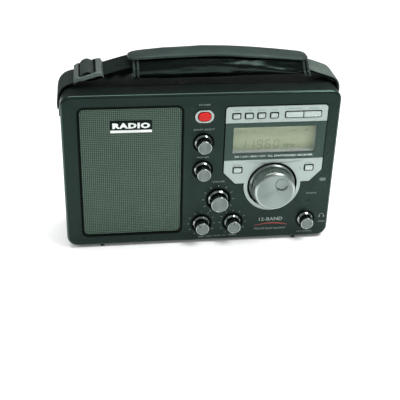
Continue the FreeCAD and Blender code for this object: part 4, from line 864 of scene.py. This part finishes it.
def make_printing():
    """Control names on the case, and captions on the silver and smoked panels."""
    pale = [letters(text, x * MM, z * MM, tall * MM, FRONT, wide)
            for text, x, z, tall, wide in (
        ("POWER", 1.3, 170.2, 1.9, 1.3), ("BAND SELECT", 1.6, 142.0, 2.0, 1.28),
        ("WIDE-NAR", 0.9, 109.1, 1.8, 1.1), ("VOLUME", 19.3, 78.6, 2.0, 1.25),
        ("BASS", 2.0, 8.4, 1.8, 1.2), ("TONE", 19.5, 8.8, 1.8, 1.2),
        ("TREBLE", 37.0, 9.2, 1.8, 1.2), ("FINE TUNING", 121.3, 9.6, 1.8, 1.15),
        ("TUNING", 125.2, 59.7, 1.8, 1.3), ("PHONES", 140.5, 21.8, 1.7, 0.85))]
    for start, end in (((7.0, 8.6), (14.0, 8.7)), ((25.0, 8.9), (31.0, 9.0))):
        pale.append(bar(Vector(start) * MM, Vector(end) * MM, 0.0004, FRONT))
    pale += ticks("volume_knob", 0.0157, 0.0180)
    pale += ticks("bass_knob", 0.0138, 0.0157) + ticks("treble_knob", 0.0138, 0.0157)
    pale += headphone_sign(0.1400, 0.0298)
    pale.append(letters("World band receiver", 0.0803, 0.0157, 0.0026, FRONT, 1.2, 0.25))
    add_piece("case_printing", *merge(pale), "legend_pale", slot="silver_trim")

    caption = letters("FM / LW / MW / SW  PLL SYNTHESIZED RECEIVER", 0.0785, 0.1088, 0.0021,
                      BEZEL_FRONT, 1.36, bold=0.00005)
    add_piece("caption_printing", *caption, "legend_bright", slot="silver_trim")
    name = letters("12-BAND", 0.0805, 0.0278, 0.0043, FRONT, 1.12, gap=1.05, bold=0.0001)
    add_piece("name_printing", *name, "legend_name", slot="silver_trim")

    sweep = [(0.0626 + 0.0380 * t, 0.0200 + 0.0026 * sin(pi * t))
             for t in (i / 14 for i in range(15))]
    line = [bar(a, b, 0.0007 * sin(pi * (i + 0.7) / 15.4) + 0.0002, FRONT)
            for i, (a, b) in enumerate(zip(sweep, sweep[1:]))]
    add_piece("underline", *merge(line), "legend_red", slot="red_key")

    dark = [letters(text, x * MM, z * MM, 1.5 * MM, TRIM_FRONT, wide) for text, x, z, wide in (
        ("SLEEP", 35.4, 163.4, 1.15), ("TIME", 48.8, 163.4, 1.15), ("ALARM", 62.1, 163.4, 1.15),
        ("LIGHT", 75.7, 163.4, 1.15), ("TUNE DOWN", 97.6, 164.0, 1.15),
        ("TUNE UP", 117.2, 164.0, 1.15), ("MEMORY", 39.2, 98.7, 1.15),
        ("LOCK", 118.4, 99.0, 1.15), ("1", 35.4, 151.0, 1), ("2", 48.8, 151.0, 1),
        ("3", 62.1, 151.0, 1), ("4", 75.7, 151.0, 1))]
    add_piece("panel_printing", *merge(dark), "legend_dark", slot="black_plastic")

    low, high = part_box("sensor_window")
    mark = plate(rounded_outline(low.x + 0.0008, low.z + 0.0006, high.x - 0.0008,
                                 high.z - 0.0006, [0.0018] * 4), low.y, low.y - 0.0001)
    add_piece("sensor_mark", *mark, "legend_dark", slot="silver_trim")


def make_cover_ribs():
    """Thumb ribs near the top of the battery cover."""
    low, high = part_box("battery_cover")
    middle = (low.x + high.x) / 2
    ribs = []
    for step in range(5):
        z = high.z - 0.010 - step * 0.0022
        outline = rounded_outline(middle - 0.011, z - 0.0005, middle + 0.011, z + 0.0005,
                                  [0.0005] * 4, 3)
        ribs.append(plate(outline, high.y - 0.0002, high.y + 0.0005, 0.0002))
    add_piece("cover_ribs", *merge(ribs), "black_plastic", "battery_cover", "case_plastic")


def make_polished_edge():
    """The rounded front edge of the case, smoother than its textured face."""
    low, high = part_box("front_case")
    radius, proud = 0.003, 0.00003
    rings = []
    for grow, degrees in ([(proud, d) for d in range(15, 86, 10)]
                          + [(-0.00015, d) for d in range(85, 14, -10)]):
        angle = radians(degrees)
        reach = radius + grow
        inset = radius - reach * sin(angle)
        outline = rounded_outline(low.x + inset, low.z + inset, high.x - inset,
                                  high.z - inset, [CASE_CORNER - inset] * 4, 16)
        y = low.y + radius - reach * cos(angle)
        rings.append([(x, y, z) for x, z in outline])
    add_piece("front_edge", *join_loop(rings), "polished_plastic",
              slot="case_plastic")


def make_seam():
    """Dark line where the two halves of the case meet."""
    low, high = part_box("front_case")
    seam, proud, half = high.y, 0.00012, 0.0003
    outline = rounded_outline(low.x, low.z, high.x, high.z, [CASE_CORNER] * 4, 10)
    middle = (low.z + high.z) / 2
    rings = []
    for y, out in ((-half, -0.0005), (-half, proud), (half, proud), (half, -0.0005)):
        grow_x = 1 + out / high.x
        grow_z = 1 + out / (high.z - middle)
        rings.append([(x * grow_x, seam + y, middle + (z - middle) * grow_z)
                      for x, z in outline])
    add_piece("case_seam", *join_loop(rings), "groove_black",
              slot="black_plastic")


# ---- carrying strap ----

STRAP_Y = 12.0
LEFT_PATH = [(-149.3, 152), (-149.3, 166), (-149.0, 174.5), (-146.2, 181.5), (-140.5, 186.4),
             (-132, 189.0), (-117, 193.1), (-102, 197.2), (-88, 201.2), (-76, 204.4),
             (-66, 205.4)]
LOWER_PATH = [(-122, 190.4), (-112, 190.6), (-104, 192.6), (-97, 190.8), (-90, 194.4),
              (-83, 192.8), (-76, 196.6), (-68, 198.6)]
RIGHT_PATH = [(149.3, 152), (149.3, 164), (150.2, 173.5), (148.8, 181.8), (143.6, 187.8),
              (135, 191.4), (124, 195.2), (113, 198.9), (104, 200.6)]


def outward(line, i):
    """The direction square to an XZ line at one of its points."""
    ahead = line[min(i + 1, len(line) - 1)] - line[max(i - 1, 0)]
    return Vector((-ahead.z, 0, ahead.x)).normalized()


def ribbon(path, width, thick, rib_pitch, rib_height, start=0, end=None, lift=0.0):
    """Webbing along an XZ path in mm, with ribs across it and rounded edges."""
    line = smooth_line([(x, 0, z) for x, z in path], 60)[start:end]
    dense, travelled, pending = [line[0]], [0.0], 0.0
    step = rib_pitch / 6 if rib_pitch else 0.8
    for a, b in zip(line, line[1:]):
        pending += (b - a).length
        if pending >= step:
            travelled.append(travelled[-1] + pending)
            dense.append(b)
            pending = 0.0
    rings = []
    for i, point in enumerate(dense):
        out = outward(dense, i)
        if out.z < 0 or (abs(out.z) < 0.05 and out.x * point.x < 0):
            out = -out
        rib = rib_height * abs(sin(pi * travelled[i] / rib_pitch)) if rib_pitch else 0
        sag = 0.35 * noise.noise(Vector((travelled[i] * 0.05, width, lift)))
        ring = []
        for across, level in ((-1, 0), (-0.97, 0.42), (-0.9, 0.5), (-0.5, 0.52), (0, 0.53),
                              (0.5, 0.52), (0.9, 0.5), (0.97, 0.42), (1, 0),
                              (0.97, -0.42), (0.5, -0.5), (-0.5, -0.5), (-0.97, -0.42)):
            high = thick * level + (rib if level > 0.3 else 0) + lift + sag * (1 - across ** 2)
            spot = point + out * high
            ring.append((spot.x * MM, (STRAP_Y + across * width / 2) * MM, spot.z * MM))
        rings.append(ring)
    return join_rings(rings)


def make_webbing():
    """The five runs of webbing; the ribbed ones stand for the CAD node."""
    # the right run's paler webbing is painted light; the plain webbing on the inner, tail and lower runs is
    # painted shade
    for name, finish, path, *sizes in (
            ("webbing_left", "webbing_ribbed", LEFT_PATH, 38, 1.4, 2.5, 0.75, 0, 330),
            ("webbing_left_inner", "webbing", LEFT_PATH, 37.6, 1.3, 0, 0, 330),
            ("webbing_right", "webbing_pale", RIGHT_PATH, 37.4, 1.4, 2.4, 0.7),
            ("webbing_right_tail", "webbing", RIGHT_PATH, 36, 1.2, 0, 0, 200, 450, -2.4),
            ("webbing_left_lower", "webbing", LOWER_PATH, 34, 1.4, 0, 0)):
        ribbed = finish != "webbing"
        run = add_piece(name, *ribbon(path, *sizes), finish, "strap", "webbing",
                        crease=60 if ribbed else 35)
        if ribbed:
            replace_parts(run, "strap_webbing")


def buckle_place(along, across, up):
    """A point on the buckle from its middle, in mm, on the slope of the left webbing."""
    slope = radians(15)
    middle = Vector((-117.6, STRAP_Y, 193.1 + 1.0))
    return (middle + Vector((along * cos(slope) - up * sin(slope), across,
                             along * sin(slope) + up * cos(slope)))) * MM


def make_buckle():
    """Ladder buckle with raised end bars, and the webbing that loops over and under it."""
    half_x, half_y, rail, slot_out = 15.8, 21.8, 2.4, 9.4
    thick, rounding, web = 3.6, 0.8, 1.1
    xs = [-half_x, -half_x + 1.2, -slot_out, -7.4, 0, 5.6, slot_out, half_x - 1.2, half_x]
    ys = [-half_y, -half_y + 1.2, -half_y + rail, 0, half_y - rail, half_y - 1.2, half_y]

    def top(x, y):
        bow = 2.6 * (1 - (x / half_x) ** 2)
        edge = 1.1 * (abs(x) == half_x) + 0.9 * (abs(y) == half_y)
        lift = 1.5 if abs(x) > slot_out - 0.1 and abs(x) < half_x else 0.0
        return 1.4 + bow + lift - edge

    vertices, faces, grid = [], [], {}
    for layer in (0, 1):
        for i, x in enumerate(xs):
            for j, y in enumerate(ys):
                crimp = rounding if abs(x) == half_x and abs(y) == half_y else 0
                up = top(x, y) if layer else top(x, y) - thick
                grid[layer, i, j] = len(vertices)
                vertices.append(buckle_place(x - copysign(crimp, x), y - copysign(crimp, y),
                                             up))
    open_cells = {(i, j) for i in (2, 5) for j in (2, 3)}
    last_i, last_j = len(xs) - 1, len(ys) - 1

    def solid(i, j):
        return 0 <= i < last_i and 0 <= j < last_j and (i, j) not in open_cells

    for i in range(last_i):
        for j in range(last_j):
            if not solid(i, j):
                continue
            corners = ((i, j), (i + 1, j), (i + 1, j + 1), (i, j + 1))
            for layer in (0, 1):
                faces.append([grid[(layer,) + c] for c in corners])
            for k, (di, dj) in enumerate(((0, -1), (1, 0), (0, 1), (-1, 0))):
                if not solid(i + di, j + dj):
                    a, b = corners[k], corners[(k + 1) % 4]
                    faces.append([grid[(0,) + a], grid[(0,) + b], grid[(1,) + b],
                                  grid[(1,) + a]])
    frame_piece = add_piece("buckle_frame", vertices, faces, "buckle_plastic", "strap",
                            crease=80)
    add_bevel(frame_piece, 0.0005, 30)
    smooth = frame_piece.modifiers.new("soft", "SUBSURF")
    smooth.levels = smooth.render_levels = 1
    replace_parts(frame_piece, "strap_buckle")

    loop = [(-8.3, -2.2), (-8.0, 1.6), (-6.6, 4.6), (-3.8, 6.3), (-0.6, 6.9), (2.0, 6.2),
            (4.2, 4.4), (5.6, 2.0), (6.0, -2.0)]
    line = smooth_line([(a, 0, b) for a, b in loop], 8)
    reach = half_y - rail + 0.4
    rings = []
    for i, point in enumerate(line):
        ring = []
        for across, level in ((-1, 0), (-0.96, 0.6), (-0.5, 0.7), (0.5, 0.7), (0.96, 0.6),
                              (1, 0), (0.96, -0.6), (-0.96, -0.6)):
            spot = point + outward(line, i) * level
            ring.append(buckle_place(spot.x, across * reach, spot.z))
        rings.append(ring)
    add_piece("buckle_loop", *join_rings(rings), "webbing_loop", "strap", "webbing",
              crease=60)
    # the webbing under the buckle takes the plain, darkest copy: painted shade
    under = [[buckle_place(along, side * (half_y - 1.3), up + drop)
              for side, drop in ((-1, -web), (-1, 0), (1, 0), (1, -web))]
             for along, up in ((-12.5, 0.3), (-8.6, 0.7), (0, 1.0), (8.6, 0.7),
                               (12.5, 0.3))]
    add_piece("buckle_webbing", *join_rings(under), "webbing", "strap")


# along the grip: x, and the heights of the flap's crest, its front edge and the sleeve's fold
GRIP_LINES = (
    (-76, 215.6, 213.6, 203.5),
    (-66, 217.4, 215.6, 205.4),
    (-37, 220.2, 217.0, 208.2),
    (0, 221.6, 218.0, 209.8),
    (30, 221.0, 217.4, 208.9),
    (60, 218.8, 215.0, 205.0),
    (86, 216.0, 213.0, 198.6),
    (108, 213.4, 211.2, 196.9),
    (118, 211.6, 209.6, 196.6),
)
VOXEL = 0.0032             # size of the cloth's mesh
HELD = 0.006               # how much of each end stays put
FRAMES = 20                # how long the cloth is blown up


def inflate(piece, pressure, most):
    """Blow the piece up as cloth held at its two ends, and keep the settled shape."""
    scene = bpy.context.scene
    remesh = piece.modifiers.new("even", "REMESH")
    remesh.mode, remesh.voxel_size = "VOXEL", VOXEL

    def settled():
        bpy.context.view_layer.update()
        return bpy.data.meshes.new_from_object(
            piece.evaluated_get(bpy.context.evaluated_depsgraph_get()))

    even = settled()
    piece.modifiers.remove(remesh)
    even.materials.clear()
    even.materials.append(piece.data.materials[0])
    piece.data = even
    start = [v.co.copy() for v in even.vertices]
    left, right = min(p.x for p in start), max(p.x for p in start)
    held = piece.vertex_groups.new(name="held")
    held.add([i for i, p in enumerate(start) if min(p.x - left, right - p.x) < HELD], 1.0,
             "ADD")
    cloth = piece.modifiers.new("cloth", "CLOTH")
    cloth.settings.use_pressure = True
    cloth.settings.uniform_pressure_force = pressure
    cloth.settings.vertex_group_mass = "held"
    cloth.settings.effector_weights.gravity = 0
    cloth.settings.quality = 6
    for step in range(1, FRAMES + 1):
        scene.frame_set(step)
    blown = settled()
    piece.modifiers.remove(cloth)
    scene.frame_set(1)
    for vertex, first, last in zip(even.vertices, start, blown.vertices):
        move = last.co - first
        vertex.co = first + move * min(1.0, most / max(move.length, 1e-9))
    bpy.data.meshes.remove(blown)
    finer = piece.modifiers.new("finer", "SUBSURF")
    finer.levels = finer.render_levels = 1
    smooth = settled()
    piece.modifiers.remove(finer)
    piece.data = smooth
    smooth.shade_smooth()


def grip_levels(x):
    """Crest, flap edge and fold heights at a station along the grip."""
    for (x0, *low), (x1, *high) in zip(GRIP_LINES, GRIP_LINES[1:]):
        if x <= x1 or x1 == GRIP_LINES[-1][0]:
            t = max(0.0, min(1.0, (x - x0) / (x1 - x0)))
            return [a + (b - a) * t for a, b in zip(low, high)]


def flap_roof(x, y):
    """Height of the flap's top over the sleeve, in mm, falling away behind the crest."""
    crest, edge, _ = grip_levels(x)
    if y > 6:
        return crest - 16.0 * ((y - 6) / 29.0) ** 1.8
    return crest - (crest - edge) * ((6 - y) / 15.0) ** 2.0


def creases(x, y, z):
    """How far the sleeve's cover stands out at a point, all in mm."""
    taut = min(1.0, max(0.0, (x - 30) / 40))
    return ((0.95 - 0.45 * taut) * noise.noise(Vector((x * 0.022, y * 0.16, z * 0.16)))
            + (0.45 - 0.4 * taut) * noise.noise(Vector((x * 0.075 + 9, y * 0.3, z * 0.42))))


def sleeve_section(x, shrink, creased=1.0):
    """The closed outline of the padded sleeve at a station, in mm."""
    _, flap, fold = grip_levels(x)
    foot = 191.0 + 1.4 * (x / 117 if x > 0 else 0)
    under = 3.3
    steep = min(1.0, max(0.0, (x - 20) / 50))
    # from the lower front, up over the fold to the crest, and down behind
    points = [(-8.0, foot + 2.0), (-10.6, foot + 5.0), (-11.2, (foot + fold) / 2),
              (-11.5, fold - 2.8), (-10.8, fold - 0.5), (-9.0 + 1.2 * steep, fold + 1.2),
              (-6.2 - 0.6 * steep, (fold + flap) / 2 - 0.6), (-3.6 - 2.2 * steep, flap - 3.4)]
    points += [(y, flap_roof(x, y) - under) for y in (0.0, 7.0, 15.0, 23.0, 29.5)]
    points += [(33.6, flap_roof(x, 33.0) - under - 1.5), (34.2, 199.0), (32.5, foot + 3.0),
               (27.0, foot + 0.6), (12.0, foot), (-2.0, foot + 0.3)]
    hub = Vector((STRAP_Y, 0.5 * (flap + foot)))
    loop = []
    for p in smooth_line([(y, z) for y, z in points], 4, True):
        y, z = p.x, p.y
        away = (Vector((y, z)) - hub).normalized()
        spot = Vector((y, z)) + away * (creases(x, y, z) * creased)
        loop.append(hub + (spot - hub) * shrink)
    return loop


def make_grip():
    """Stuffed sleeve and its piped ends."""
    left, right = -72.0, 116.0
    stations = 96
    rings = []
    for i in range(stations + 1):
        t = i / stations
        x = left + (right - left) * t
        ends = min(x - left, right - x)
        shrink = 0.86 + 0.14 * min(1.0, ends / 2.2) ** 0.5
        lean = 0.22 * max(0.0, (x - 80) / 36)
        rings.append([((x - lean * (p.y - 200)) * MM, p.x * MM, p.y * MM)
                      for p in sleeve_section(x, shrink, 0.4)])
    sleeve = add_piece("grip_sleeve", *join_rings(rings), "grip_leather", "strap", crease=70)
    inflate(sleeve, pressure=4.0, most=0.0012)
    # the creases go on after the simulation, which would iron them out
    for vertex in sleeve.data.vertices:
        vertex.co += vertex.normal * (0.8 * creases(*(vertex.co / MM)) * MM)
    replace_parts(sleeve, "strap_grip")

    pipes = ((-70.6, 0.03), (-66.6, 0.03), (109.4, 0.16), (113.6, 0.2))
    for number, (x, lean) in enumerate(pipes, 1):
        section = sleeve_section(x, 1.0)
        hub = sum(section, Vector((0, 0))) / len(section)
        rings = []
        for p in section:
            ring = []
            for c, s in circle(8):
                spot = p + (p - hub).normalized() * (1.25 * s + 0.2)
                ring.append(((x + 1.5 * c - lean * (p.y - 200)) * MM, spot.x * MM, spot.y * MM))
            rings.append(ring)
        add_piece("grip_piping_%d" % number, *join_loop(rings), "flap_leather", "strap",
                  "grip_leather", crease=80)


def make_flap():
    """A thick sheet over the sleeve, with a rolled front edge and rounded corners."""
    left, right, corner = -76.5, 114.0, 10.0
    stations, spans = 120, 26
    rings = []
    for i in range(stations + 1):
        x = left + (right - left) * (0.5 - 0.5 * cos(pi * i / stations))
        ends = min(x - left, right - x)
        tuck = corner - sqrt(max(0.0, corner ** 2 - max(0.0, corner - ends) ** 2))
        front, rear = -9.4 + tuck, 33.5 - tuck
        bend = 1.3 * max(0.0, 1 - ends / 7.0) ** 2
        outside, inside = [], []
        for j in range(spans + 1):
            s = 0.5 - 0.5 * cos(pi * j / spans)
            y = front + (rear - front) * s
            ripple = 0.5 * noise.noise(Vector((x * 0.03, y * 0.1, 3)))
            near = min(y - front, rear - y, ends)
            thick = 3.0 * sqrt(max(0.0, 1 - max(0.0, 1 - near / 1.5) ** 2))
            roll = 0.5 * max(0.0, 1 - (y - front) / 4.0)
            level = flap_roof(x, y) + ripple - 1.5 - bend + roll
            outside.append((x * MM, y * MM, (level + thick / 2) * MM))
            inside.append((x * MM, y * MM, (level - thick / 2) * MM))
        rings.append(outside + inside[::-1][1:-1])
    flap = add_piece("grip_flap", *join_rings(rings), "flap_leather", "strap", "grip_leather",
                     crease=80)


# ---- the scene ----

MATERIALS = make_materials()
make_camera()
make_lights()
make_floor()
dress_cad_nodes()
make_grille()
make_badge()
for *knob, _ in KNOBS:
    make_small_knob(*knob)
make_tuning_knob()
make_recess_rings()
make_display()
make_gaps()
make_printing()
make_cover_ribs()
make_polished_edge()
make_seam()
make_webbing()
make_buckle()
make_grip()
make_flap()
